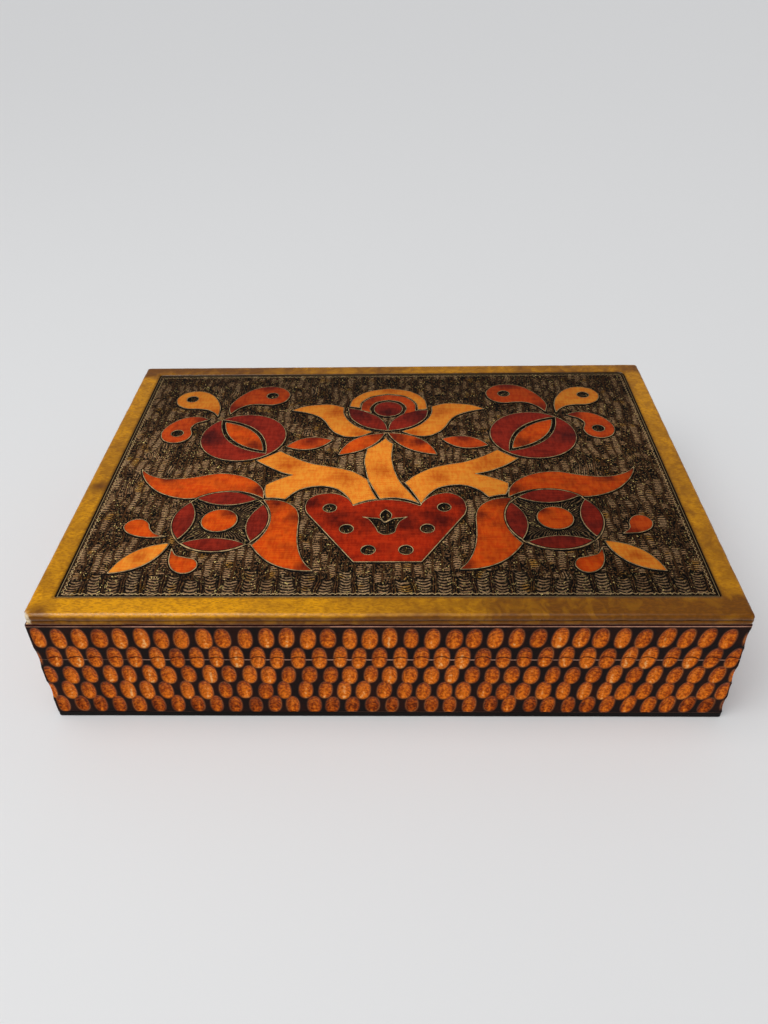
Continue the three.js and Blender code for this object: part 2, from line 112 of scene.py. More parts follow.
def soft_noise(x: np.ndarray, y: np.ndarray | float, seed: float) -> np.ndarray:
    """Smooth noise from 0 to 1 with a cell of one unit: lattice values blended by smooth steps.

    Args:
        x, y: places in cells.
        seed: picks one noise among many.

    Returns:
        The noise at each place.
    """
    column, row = np.floor(x), np.floor(y)
    right = smooth_step(0.0, 1.0, x - column)
    up = smooth_step(0.0, 1.0, y - row)
    rows = []
    for line in (row, row + 1):
        here, beside = lattice_value(column, line, seed), lattice_value(column + 1, line, seed)
        rows.append(here * (1 - right) + beside * right)
    return rows[0] * (1 - up) + rows[1] * up


def wobble(x: np.ndarray, y: np.ndarray, cell: Point, seed: float) -> np.ndarray:
    """Smooth noise from -0.5 to 0.5 with a cell of a size."""
    return soft_noise(x / cell[0], y / cell[1], seed) - 0.5


def quarter_turns(points: np.ndarray, turns: int) -> np.ndarray:
    """Points in the plane, turned anticlockwise about the origin by a number of quarter turns."""
    cos, sin = math.cos(turns * math.pi / 2), math.sin(turns * math.pi / 2)
    return points @ np.array([[cos, sin], [-sin, cos]])


def grid_quads(rows: int, columns: int, wrap: bool = False, close: bool = False) -> np.ndarray:
    """Corner numbers of a grid's quads, facing along (row direction) x (column direction).

    Args:
        rows, columns: the grid's size in vertices.
        wrap: whether the last column joins the first.
        close: whether the last row joins the first.

    Returns:
        An array of quads, four vertex numbers each.
    """
    lines, stacks = np.arange(rows if close else rows - 1), np.arange(columns if wrap else columns - 1)
    row, column = np.meshgrid(lines, stacks, indexing="ij")
    here, ahead, beside = row * columns, (row + 1) % rows * columns, (column + 1) % columns
    return np.stack([here + column, ahead + column, ahead + beside, here + beside], axis=-1).reshape(-1, 4)


@dataclass
class Surface:
    """A mesh as arrays, in millimetres, with a finish number and a smooth flag for each face."""

    points: np.ndarray
    quads: np.ndarray
    triangles: np.ndarray = field(default_factory=lambda: np.zeros((0, 3), int))
    quad_finish: np.ndarray | None = None
    triangle_finish: int = 0
    quad_smooth: np.ndarray | None = None
    fields: dict[str, np.ndarray] = field(default_factory=dict)

    def to_object(self, name: str, finishes: list[Material]) -> Piece:
        """Writes the arrays into a mesh in metres.

        The edges of flat faces are marked sharp, so that a flat face shares no normal with a smooth one.

        Args:
            name: the piece's name.
            finishes: the materials that the finish numbers pick from.

        Returns:
            The new object, linked to the scene.
        """
        mesh = bpy.data.meshes.new(name)
        more = len(self.triangles)
        finish = np.zeros(len(self.quads), int) if self.quad_finish is None else self.quad_finish
        smooth = np.ones(len(self.quads), bool) if self.quad_smooth is None else self.quad_smooth
        finish = np.concatenate([finish, np.full(more, self.triangle_finish)]).astype(np.int32)
        smooth = np.concatenate([smooth, np.zeros(more, bool)])
        corners = np.concatenate([self.quads.ravel(), self.triangles.ravel()]).astype(np.int32)
        sizes = np.concatenate([np.full(len(self.quads), 4), np.full(more, 3)])
        mesh.vertices.add(len(self.points))
        mesh.vertices.foreach_set("co", (self.points * MM).astype(np.float32).ravel())
        mesh.loops.add(len(corners))
        mesh.loops.foreach_set("vertex_index", corners)
        mesh.polygons.add(len(sizes))
        mesh.polygons.foreach_set("loop_start", np.concatenate([[0], np.cumsum(sizes)[:-1]]).astype(np.int32))
        mesh.polygons.foreach_set("material_index", finish)
        mesh.polygons.foreach_set("use_smooth", smooth)
        for label, values in self.fields.items():
            self._write_field(mesh, label, values)
        mesh.update(calc_edges=True)
        edges = np.zeros(len(corners), np.int32)
        mesh.loops.foreach_get("edge_index", edges)
        sharp = np.zeros(len(mesh.edges), bool)
        sharp[edges[np.repeat(~smooth, sizes)]] = True
        mesh.attributes.new("sharp_edge", "BOOLEAN", "EDGE").data.foreach_set("value", sharp)
        mesh.validate()
        for material in finishes:
            mesh.materials.append(material)
        piece = bpy.data.objects.new(name, mesh)
        bpy.context.scene.collection.objects.link(piece)
        return piece

    @staticmethod
    def _write_field(mesh: bpy.types.Mesh, label: str, values: np.ndarray) -> None:
        """Stores one value, or one colour, for each vertex.

        Args:
            mesh: the mesh that gets the attribute.
            label: the attribute's name.
            values: a value for each vertex, or its linear colour in a row.
        """
        if values.ndim == 1:
            mesh.attributes.new(label, "FLOAT", "POINT").data.foreach_set("value", values.astype(np.float32))
            return
        opaque = np.concatenate([values, np.ones((len(values), 1))], axis=1).astype(np.float32)
        mesh.attributes.new(label, "FLOAT_COLOR", "POINT").data.foreach_set("color", opaque.ravel())


# Outlines of the lid's flower pot


@dataclass(frozen=True)
class Stroke:
    """One stretch of an outline: straight, bowed by a rise to the left of its chord, or through points."""

    to: Point
    rise: float = 0.0
    through: tuple[Point, ...] = ()


def via(to: Point, *through: Point) -> Stroke:
    """A stroke that ends at a point and runs smoothly through others on its way."""
    return Stroke(to, through=through)


STROKE_STEPS = 14
DISC_STEPS = 96


def stroke_points(start: Point, stroke: Stroke) -> np.ndarray:
    """Points along one stroke, without its last one.

    Args:
        start: where the stroke begins.
        stroke: the stroke.

    Returns:
        Points on the bow start + t (end - start) + 4 rise t (1 - t) left, or on the cubic curve through the
        stroke's points whose slope at each of them is half the step between its two neighbours.
    """
    t = np.linspace(0.0, 1.0, STROKE_STEPS, endpoint=False)[:, None]
    first, last = np.array(start), np.array(stroke.to)
    if not stroke.through:
        chord = last - first
        left = np.array([-chord[1], chord[0]]) / max(np.hypot(*chord), TINY)
        return first + t * chord + 4.0 * stroke.rise * t * (1.0 - t) * left
    knots = np.array([start, *stroke.through, stroke.to])
    padded = np.vstack([2 * knots[0] - knots[1], knots, 2 * knots[-1] - knots[-2]])
    before, here, after, beyond = padded[:-3], padded[1:-2], padded[2:-1], padded[3:]
    u = t[::2][:, :, None]
    curve = (
        2 * here
        + (after - before) * u
        + (2 * before - 5 * here + 4 * after - beyond) * u**2
        + (3 * here - before - 3 * after + beyond) * u**3
    )
    return (curve / 2).transpose(1, 0, 2).reshape(-1, 2)


def drawn(start: Point, *strokes: Stroke) -> np.ndarray:
    """A closed outline of strokes that starts and ends at one point."""
    places = [start, *(stroke.to for stroke in strokes)]
    return np.vstack([stroke_points(place, stroke) for place, stroke in zip(places, strokes)])


def smooth_loop(start: Point, *through: Point) -> np.ndarray:
    """A closed outline that is smooth but for one point, such as a drop with its tip at the start."""
    return drawn(start, via(start, *through))


def disc(centre: Point, radius: float) -> np.ndarray:
    """A circle's outline."""
    angle = np.linspace(0.0, 2 * np.pi, DISC_STEPS, endpoint=False)
    return np.array(centre) + radius * np.stack([np.cos(angle), np.sin(angle)], axis=1)


def lens(tip: Point, other_tip: Point, rise: float, other_rise: float) -> np.ndarray:
    """A leaf shape of two bows between its tips."""
    return drawn(tip, Stroke(other_tip, rise=rise), Stroke(tip, rise=other_rise))


def signed_distance(x: np.ndarray, y: np.ndarray, outline: np.ndarray) -> np.ndarray:
    """Distance to a closed outline, positive inside it.

    Args:
        x, y: places as flat arrays.
        outline: the outline's points in order.

    Returns:
        The distance to the nearest edge, with the sign of an even-odd crossing count.
    """
    start, end = outline, np.roll(outline, -1, axis=0)
    edge = end - start
    to_x, to_y = x[:, None] - start[:, 0], y[:, None] - start[:, 1]
    share = (to_x * edge[:, 0] + to_y * edge[:, 1]) / np.maximum((edge**2).sum(axis=1), TINY)
    along = np.clip(share, 0.0, 1.0)
    gap = np.hypot(to_x - along * edge[:, 0], to_y - along * edge[:, 1]).min(axis=1)
    rise = np.where(np.abs(edge[:, 1]) < TINY, TINY, edge[:, 1])
    straddles = (start[:, 1] > y[:, None]) != (end[:, 1] > y[:, None])
    crossings = (straddles & (x[:, None] < start[:, 0] + to_y / rise * edge[:, 0])).sum(axis=1)
    return np.where(crossings % 2 == 1, gap, -gap)


class Stain(Enum):
    """The stains on the lid, each with its clear and its deep colour."""

    YELLOW = (linear(241, 151, 48), linear(204, 102, 22))
    ORANGE = (linear(221, 88, 15), linear(122, 36, 12))
    VERMILION = (linear(208, 80, 20), linear(130, 36, 15))
    CRIMSON = (linear(154, 42, 24), linear(86, 24, 20))
    POT_RED = (linear(180, 46, 12), linear(92, 20, 10))


@dataclass(frozen=True)
class Shape:
    """One stained shape: its outline, its holes, and where its stain runs deep, as (x, y, reach)."""

    stain: Stain
    outline: np.ndarray
    holes: tuple[np.ndarray, ...] = ()
    deep: tuple[Place, ...] = ()

    def mirrored(self, shift: Point) -> "Shape":
        """The same shape on the other side of the lid's middle line, moved a little as a hand would.

        Args:
            shift: how far it is moved along x and y, in mm.

        Returns:
            The mirrored shape.
        """
        turn, move = np.array([-1.0, 1.0]), np.array(shift)
        deep = tuple((shift[0] - x, y + shift[1], reach) for x, y, reach in self.deep)
        holes = tuple(hole * turn + move for hole in self.holes)
        return Shape(self.stain, self.outline * turn + move, holes, deep)

    def pair(self, shift: Point) -> list["Shape"]:
        """The shape and its mirrored twin."""
        return [self, self.mirrored(shift)]


@dataclass(frozen=True)
class FlowerPot:
    """The lid's ornament: a red pot with a rose, branches, pomegranates, wheel flowers, leaves and drops."""

    reach: float = 3.0
    band: float = 2.3
    hole_radius: float = 3.15
    pot_hole_radius: float = 3.1
    fruit_centre: Point = (-73.1, 26.2)
    fruit_radius: float = 21.3
    fruit_shift: Point = (-1.0, 1.0)
    seed_rise: float = 5.9
    wheel_centre: Point = (-73.0, -41.8)
    wheel_radius: float = 21.3
    wheel_hub_radius: float = 7.8
    wheel_shift: Point = (-0.1, 1.0)
    rose_centre: Point = (-0.6, 52.6)
    heart_radius: float = 7.4
    rim_stain: float = 0.28
    rim_fade: float = 1.4
    deep_stain: float = 0.85
    yellow_calm: float = 0.6

    def drops(self) -> list[Shape]:
        """The three drops with black eyes above each pomegranate, and the two plain ones under each wheel.

        Returns:
            The drops' shapes.
        """
        yellow = Shape(
            Stain.YELLOW,
            smooth_loop(
                (-89.6, 46.5), (-89.9, 55.0), (-92.4, 62.8), (-97.2, 69.6), (-104.0, 72.9), (-111.2, 71.0),
                (-114.7, 65.2), (-113.0, 58.6), (-107.6, 54.8), (-101.6, 54.4), (-96.2, 53.2), (-92.2, 50.2),
            ),
            (disc((-106.5, 64.4), self.hole_radius),), ((-91.0, 50.0, 7.0),),
        )
        upper = Shape(
            Stain.VERMILION,
            smooth_loop(
                (-83.4, 48.8), (-84.8, 55.5), (-83.0, 62.5), (-79.0, 69.6), (-73.3, 75.3), (-66.0, 77.6),
                (-58.6, 75.6), (-54.2, 69.0), (-56.0, 61.6), (-62.0, 58.1), (-69.0, 58.7), (-75.0, 58.1),
                (-80.0, 54.2),
            ),
            (disc((-63.5, 67.6), self.hole_radius),), ((-83.0, 52.0, 8.0), (-66.0, 77.0, 7.0)),
        )
        side = Shape(
            Stain.VERMILION,
            smooth_loop(
                (-93.4, 43.4), (-98.9, 45.9), (-105.3, 45.2), (-110.6, 41.5), (-114.2, 36.0), (-115.5, 29.8),
                (-113.0, 23.6), (-107.5, 21.1), (-102.0, 23.6), (-100.1, 29.0), (-101.6, 35.0), (-99.8, 39.4),
                (-96.6, 41.6),
            ),
            (disc((-107.5, 30.0), self.hole_radius),), ((-96.0, 44.0, 6.0),),
        )
        lower = Shape(
            Stain.ORANGE,
            smooth_loop(
                (-90.3, -61.0), (-87.8, -65.2), (-83.5, -66.8), (-79.2, -68.2), (-77.5, -72.2),
                (-79.7, -75.8), (-83.6, -76.4), (-87.6, -73.6), (-89.8, -68.3),
            ),
            deep=((-90.0, -63.0, 5.0),),
        )
        near = Shape(
            Stain.ORANGE,
            smooth_loop(
                (-94.8, -52.8), (-99.5, -51.3), (-102.7, -47.9), (-104.4, -43.6), (-108.0, -40.9),
                (-112.2, -41.7), (-114.5, -45.5), (-112.6, -49.5), (-108.0, -52.2), (-102.0, -53.4),
            ),
            deep=((-96.0, -52.5, 5.0),),
        )
        far = Shape(
            Stain.VERMILION,
            smooth_loop(
                (100.6, -51.6), (104.1, -48.0), (104.9, -43.3), (107.8, -39.6), (111.9, -39.5),
                (114.5, -43.4), (113.0, -48.0), (108.0, -50.9),
            ),
            deep=((103.0, -50.0, 5.0),),
        )
        return [
            *yellow.pair((-3.0, 2.0)), *upper.pair((-2.2, 0.6)), *side.pair((-1.9, 2.5)),
            *lower.pair((-0.4, 0.2)), near, far,
        ]

    def leaves(self) -> list[Shape]:
        """The long and the broad leaf round each wheel, the small leaves and the sepals under the rose.

        Returns:
            The leaves' shapes.
        """
        long_leaf = Shape(
            Stain.ORANGE,
            drawn(
                (-117.3, -2.2),
                via(
                    (-56.2, -25.6), (-113.0, -6.6), (-106.5, -9.6), (-98.5, -10.2), (-90.0, -8.7),
                    (-81.5, -6.2), (-74.0, -6.5), (-66.5, -9.2), (-60.6, -13.9), (-57.3, -19.3),
                ),
                Stroke((-86.6, -25.2), rise=-5.6),
                via(
                    (-117.3, -2.2), (-92.0, -25.6), (-99.0, -23.8), (-106.0, -19.8), (-112.0, -13.4),
                    (-115.5, -7.4),
                ),
            ),
            deep=((-117.0, -4.0, 9.0), (-103.0, -9.5, 5.0), (-57.5, -20.0, 6.0)),
        )
        broad_leaf = Shape(
            Stain.ORANGE,
            drawn(
                (-55.8, -27.0), Stroke((-56.9, -59.0), rise=5.4),
                via((-29.8, -75.2), (-53.4, -64.2), (-48.8, -69.2), (-43.0, -72.8), (-36.5, -74.8)),
                via(
                    (-55.8, -27.0), (-33.4, -70.6), (-36.2, -64.0), (-37.9, -56.0), (-38.5, -47.5),
                    (-38.8, -40.0), (-40.6, -33.8), (-44.8, -29.4), (-50.0, -27.2),
                ),
            ),
            deep=((-52.0, -29.0, 9.0), (-40.0, -40.0, 5.0), (-32.0, -74.0, 5.0)),
        )
        slim_leaf = Shape(
            Stain.YELLOW, lens((-92.0, -57.5), (-113.2, -76.5), -5.0, -5.2), deep=((-103.0, -67.0, 4.0),),
        )
        small_leaf = Shape(
            Stain.VERMILION, lens((-50.5, 17.0), (-28.2, 22.7), 5.3, 5.2), deep=((-38.0, 23.0, 5.0),),
        )
        left_sepal = Shape(
            Stain.ORANGE, lens((-2.0, 28.8), (-24.2, 9.6), -5.6, -4.4), deep=((-5.0, 27.0, 7.0),),
        )
        right_sepal = Shape(
            Stain.ORANGE, lens((-0.2, 29.0), (23.6, 9.6), 5.8, 4.7),
            deep=((3.0, 27.0, 7.0), (15.0, 20.0, 5.0)),
        )
        return [
            *long_leaf.pair((-1.4, 0.4)), *broad_leaf.pair((0.4, 0.8)),
            *slim_leaf.pair((-0.2, 1.0)), *small_leaf.pair((-1.6, 0.6)),
            left_sepal, right_sepal,
        ]

    def pomegranates(self) -> list[Shape]:
        """Each fruit is a crimson disc parted by a black band round an orange seed.

        Returns:
            The shapes of both fruits and both seeds.
        """
        rise, wide = self.seed_rise, self.seed_rise + self.band
        seed = lens((-84.4, 40.3), (-61.7, 13.6), rise, rise)
        gap = lens((-86.6, 43.0), (-59.8, 11.0), wide, wide)
        fruit = Shape(
            Stain.CRIMSON, disc(self.fruit_centre, self.fruit_radius), (gap,), ((-90.0, 26.0, 9.0),),
        )
        kernel = Shape(Stain.ORANGE, seed, deep=((-66.0, 18.0, 6.0),))
        return [*fruit.pair(self.fruit_shift), *kernel.pair(self.fruit_shift)]

    def wheels(self) -> list[Shape]:
        """Each wheel flower has four crimson petals on its rim and an orange hub.

        Returns:
            The shapes of both wheels.
        """
        x, y = self.wheel_centre
        petals = [
            lens((-86.2, -25.6), (-59.2, -26.6), 5.6, 4.5),
            lens((-88.6, -28.4), (-89.2, -54.6), -5.4, -4.1),
            lens((-55.4, -30.4), (-57.6, -56.4), 4.8, 4.6),
            lens((-87.2, -57.4), (-59.6, -58.2), 3.7, 5.3),
        ]
        shapes = [Shape(Stain.CRIMSON, petal, deep=((x, y - 2.0, 17.0),)) for petal in petals]
        hub = disc((x - 0.5, y), self.wheel_hub_radius)
        shapes.append(Shape(Stain.ORANGE, hub, deep=((x + 4.0, y + 6.0, 4.0),)))
        return shapes + [shape.mirrored(self.wheel_shift) for shape in shapes]

    def rose(self) -> list[Shape]:
        """The rose: yellow arch, vermilion ring, crimson heart, two crimson petals and two yellow wings.

        Returns:
            The rose's shapes.
        """
        x, y = self.rose_centre
        arch = drawn(
            (x - 20.4, y + 3.2), via((x, y + 21.8), (x - 18.6, y + 11.0), (x - 11.2, y + 18.6)),
            via((x + 20.4, y + 0.4), (x + 11.2, y + 18.8), (x + 18.8, y + 10.6)),
            Stroke((x + 15.6, y - 0.6), rise=0.4),
            via((x, y + 16.2), (x + 14.6, y + 6.4), (x + 9.2, y + 13.4)),
            via((x - 15.2, y + 0.8), (x - 9.0, y + 13.4), (x - 14.2, y + 7.6)),
        )
        ring = drawn(
            (x - 14.2, y - 0.6), via((x, y + 15.2), (x - 13.4, y + 6.8), (x - 8.4, y + 12.6)),
            via((x + 14.2, y - 2.4), (x + 8.6, y + 12.6), (x + 13.8, y + 5.8)),
            Stroke((x + 8.2, y - 5.0), rise=0.8), via((x, y + 9.6), (x + 9.5, y + 1.4), (x + 6.2, y + 7.4)),
            via((x - 8.6, y - 4.2), (x - 6.4, y + 7.2), (x - 9.6, y + 1.0)),
        )
        left_petal = drawn(
            (-21.7, 54.0), via((-0.8, 31.5), (-19.7, 44.2), (-14.1, 36.9), (-7.7, 33.2)),
            via((-21.7, 54.0), (-1.8, 37.0), (-4.5, 43.0), (-9.0, 47.6), (-15.5, 51.8)),
        )
        right_petal = drawn(
            (20.2, 51.5), via((-0.3, 31.5), (18.6, 43.6), (13.0, 36.6), (6.4, 33.0)),
            via((20.2, 51.5), (0.8, 38.5), (3.5, 43.5), (8.5, 48.5), (14.0, 50.7)),
        )
        wing = drawn(
            (-51.2, 52.0), via((-24.0, 54.6), (-45.0, 55.8), (-38.0, 57.3), (-31.0, 57.6)),
            via((-8.3, 30.2), (-23.6, 47.6), (-20.6, 40.6), (-15.6, 34.6)),
            via(
                (-51.2, 52.0), (-14.6, 26.4), (-21.2, 26.0), (-26.8, 29.6), (-30.4, 35.0), (-32.8, 40.6),
                (-36.6, 45.6), (-43.0, 49.4),
            ),
        )
        left_wing = Shape(Stain.YELLOW, wing, deep=((-27.0, 50.0, 6.0), (-14.0, 29.0, 5.0)))
        return [
            Shape(Stain.YELLOW, arch, deep=((x, y + 21.0, 6.0),)),
            Shape(Stain.VERMILION, ring, deep=((x - 12.0, y + 9.0, 8.0),)),
            Shape(Stain.CRIMSON, disc((x, y + 0.2), self.heart_radius), deep=((x, y - 4.0, 5.0),)),
            Shape(Stain.CRIMSON, left_petal, deep=((x - 17.0, y - 2.0, 10.0),)),
            Shape(Stain.CRIMSON, right_petal, deep=((x + 17.0, y - 4.0, 10.0),)),
            *left_wing.pair((-1.6, 0.4)),
        ]

    def branches(self) -> list[Shape]:
        """The stem in the middle and a forked branch on each side, all yellow.

        Returns:
            The branches' shapes.
        """
        stem = drawn(
            (-1.4, 24.8), Stroke((-10.3, 14.6), rise=0.8),
            via((-3.2, -26.4), (-11.3, 4.6), (-10.5, -2.4), (-8.9, -11.2), (-6.2, -19.0)),
            Stroke((14.2, -29.9), rise=2.2),
            via((2.2, 19.2), (9.9, -21.4), (5.6, -13.0), (2.8, -3.0), (1.6, 7.4)),
            Stroke((-1.4, 24.8), rise=0.6),
        )
        left = drawn(
            (-9.6, -11.4),
            via((-53.0, 13.0), (-15.2, -5.9), (-21.2, -2.8), (-28.6, -0.4), (-37.2, 2.2), (-45.2, 7.0)),
            Stroke((-63.6, 4.9), rise=0.3), via((-44.6, -7.4), (-57.0, -0.2), (-50.6, -4.8)),
            Stroke((-56.4, -15.4), rise=-0.6), Stroke((-54.9, -25.4), rise=-0.5),
            Stroke((-46.2, -26.4), rise=0.4),
            via(
                (-15.3, -31.2), (-42.0, -20.6), (-36.4, -17.1), (-29.4, -16.4), (-23.0, -18.8),
                (-18.2, -24.4),
            ),
            Stroke((-4.6, -26.6), rise=0.9), Stroke((-9.6, -11.4), rise=0.4),
        )
        right = drawn(
            (8.0, -14.0), Stroke((15.2, -30.4), rise=0.4),
            via((45.9, -25.4), (18.2, -24.0), (23.0, -18.4), (29.8, -15.9), (36.4, -16.4), (42.0, -20.0)),
            Stroke((53.5, -23.4), rise=0.4), Stroke((55.6, -14.8), rise=-0.5),
            Stroke((40.8, -7.1), rise=-0.8), via((62.1, 5.5), (48.0, -4.6), (55.4, -0.2)),
            Stroke((53.1, 13.2), rise=0.3),
            via((8.0, -14.0), (45.2, 7.4), (36.4, 2.8), (28.6, 0.6), (20.6, -2.4), (13.4, -7.8)),
        )
        return [
            Shape(Stain.YELLOW, stem, deep=((-3.0, -4.0, 6.0), (3.0, -24.0, 5.0))),
            Shape(Stain.YELLOW, left, deep=((-48.0, 2.0, 8.0), (-20.0, -10.0, 6.0))),
            Shape(Stain.YELLOW, right, deep=((48.0, 3.0, 8.0), (24.0, -9.0, 6.0))),
        ]

    def tulip(self) -> tuple[np.ndarray, np.ndarray]:
        """The outlines of the small black tulip in the middle of the pot: its flame and its cup.

        Returns:
            The flame's outline and the cup's.
        """
        flame = smooth_loop(
            (-0.6, -34.2), (-2.3, -36.2), (-3.0, -38.5), (-2.4, -41.0), (-0.8, -43.2), (1.6, -41.0),
            (2.2, -38.2), (1.2, -36.0),
        )
        cup = drawn(
            (-10.8, -39.7), via((-0.8, -43.9), (-6.5, -40.4), (-3.2, -41.0)),
            via((9.2, -39.7), (2.8, -41.0), (5.8, -40.4)),
            via(
                (-10.8, -39.7), (5.8, -42.9), (4.2, -47.2), (3.4, -50.5), (-0.2, -52.2), (-3.5, -50.5),
                (-4.6, -47.5), (-7.8, -41.5),
            ),
        )
        return flame, cup

    def pot(self) -> list[Shape]:
        """The pot: two lobes, a straight-sided body, six black dots and the tulip.

        Returns:
            The pot's shapes.
        """
        outline = drawn(
            (-13.3, -69.7), Stroke((14.7, -69.7)), Stroke((34.2, -37.9)),
            via(
                (14.8, -31.9), (35.2, -33.2), (34.0, -27.0), (30.6, -23.4), (26.5, -22.2), (20.6, -24.2),
                (16.8, -28.2),
            ),
            Stroke((-15.0, -31.7), rise=-4.6),
            via(
                (-36.5, -31.2), (-17.6, -26.6), (-22.0, -23.0), (-26.5, -22.2), (-32.0, -23.4),
                (-35.6, -27.0),
            ),
            Stroke((-34.5, -37.9), rise=-0.5), Stroke((-13.3, -69.7)),
        )
        dots = [(-25.5, -33.2), (-17.3, -48.1), (-7.5, -62.2), (8.3, -62.2), (17.6, -48.0), (25.4, -32.9)]
        holes = (*(disc(dot, self.pot_hole_radius) for dot in dots), *self.tulip())
        deep = (
            (-34.0, -30.0, 6.0), (34.0, -31.0, 8.0), (-22.0, -42.0, 8.0), (-8.0, -45.0, 7.0),
            (9.0, -44.0, 8.0), (22.0, -41.0, 10.0),
        )
        return [Shape(Stain.POT_RED, outline, holes, deep)]

    def shapes(self) -> list[Shape]:
        """Every stained shape."""
        makers = (self.drops, self.leaves, self.pomegranates, self.wheels, self.rose, self.branches, self.pot)
        return [shape for maker in makers for shape in maker()]

    def rims(self) -> list[np.ndarray]:
        """The wheel flowers' rims, which are only scribed."""
        (x, y), (move_x, move_y) = self.wheel_centre, self.wheel_shift
        return [disc((x, y), self.wheel_radius), disc((move_x - x, y + move_y), self.wheel_radius)]

    def measure(self, x: np.ndarray, y: np.ndarray) -> dict[str, np.ndarray]:
        """Works the ornament out at places on the lid.

        Args:
            x, y: places as flat arrays.

        Returns:
            edge, the signed distance to the nearest shape; stain, that shape's colour; scribe, the signed
            distance to the nearest wheel's rim; and hollow, how far inside a hole each place lies.
        """
        edge = np.full(x.shape, -self.reach)
        hollow = np.zeros(x.shape)
        stain = np.tile(np.array(Stain.YELLOW.value[0]), (len(x), 1))
        for shape in self.shapes():
            near = self._near(x, y, shape.outline)
            inside = signed_distance(x[near], y[near], shape.outline)
            for hole in shape.holes:
                within = signed_distance(x[near], y[near], hole)
                inside = np.minimum(inside, -within)
                hollow[near] = np.maximum(hollow[near], within)
            nearest = inside > edge[near]
            picked = near[nearest]
            edge[picked] = inside[nearest]
            stain[picked] = self._shaded(shape, x[picked], y[picked], inside[nearest])
        scribe = np.full(x.shape, -1.0)
        for outline in self.rims():
            near = self._near(x, y, outline)
            inside = np.clip(signed_distance(x[near], y[near], outline), -1.0, 1.0)
            scribe[near] = np.maximum(scribe[near], inside)
        return {"edge": edge, "stain": stain, "scribe": scribe, "hollow": hollow}

    def _near(self, x: np.ndarray, y: np.ndarray, outline: np.ndarray) -> np.ndarray:
        """Numbers of the places within reach of an outline's box."""
        low, high = outline.min(axis=0) - self.reach, outline.max(axis=0) + self.reach
        return np.flatnonzero((x > low[0]) & (x < high[0]) & (y > low[1]) & (y < high[1]))

    def _shaded(self, shape: Shape, x: np.ndarray, y: np.ndarray, inside: np.ndarray) -> np.ndarray:
        """A shape's colour: clear stain, which is deep near its deep places, along its rim and in blots.

        Args:
            shape: the shape with its stain and its deep places.
            x, y: the points on the lid, in mm.
            inside: how far inside the outline each point lies, in mm.

        Returns:
            The points' linear colours.
        """
        clear, deep = (np.array(colour) for colour in shape.stain.value)
        weight = self.rim_stain * np.exp(-np.maximum(inside, 0.0) / self.rim_fade)
        for place_x, place_y, reach in shape.deep:
            weight = np.maximum(weight, self.deep_stain * bell(np.hypot(x - place_x, y - place_y), reach))
        blots = 0.55 * (wobble(x, y, (6.0, 4.2), 3.0) + 0.05) + 0.36 * wobble(x, y, (1.6, 2.4), 5.0)
        calm = self.yellow_calm if shape.stain is Stain.YELLOW else 1.0
        weight = np.clip(weight + calm * blots, 0.0, 1.0)[:, None]
        return clear * (1 - weight) + deep * weight


# Shader helpers


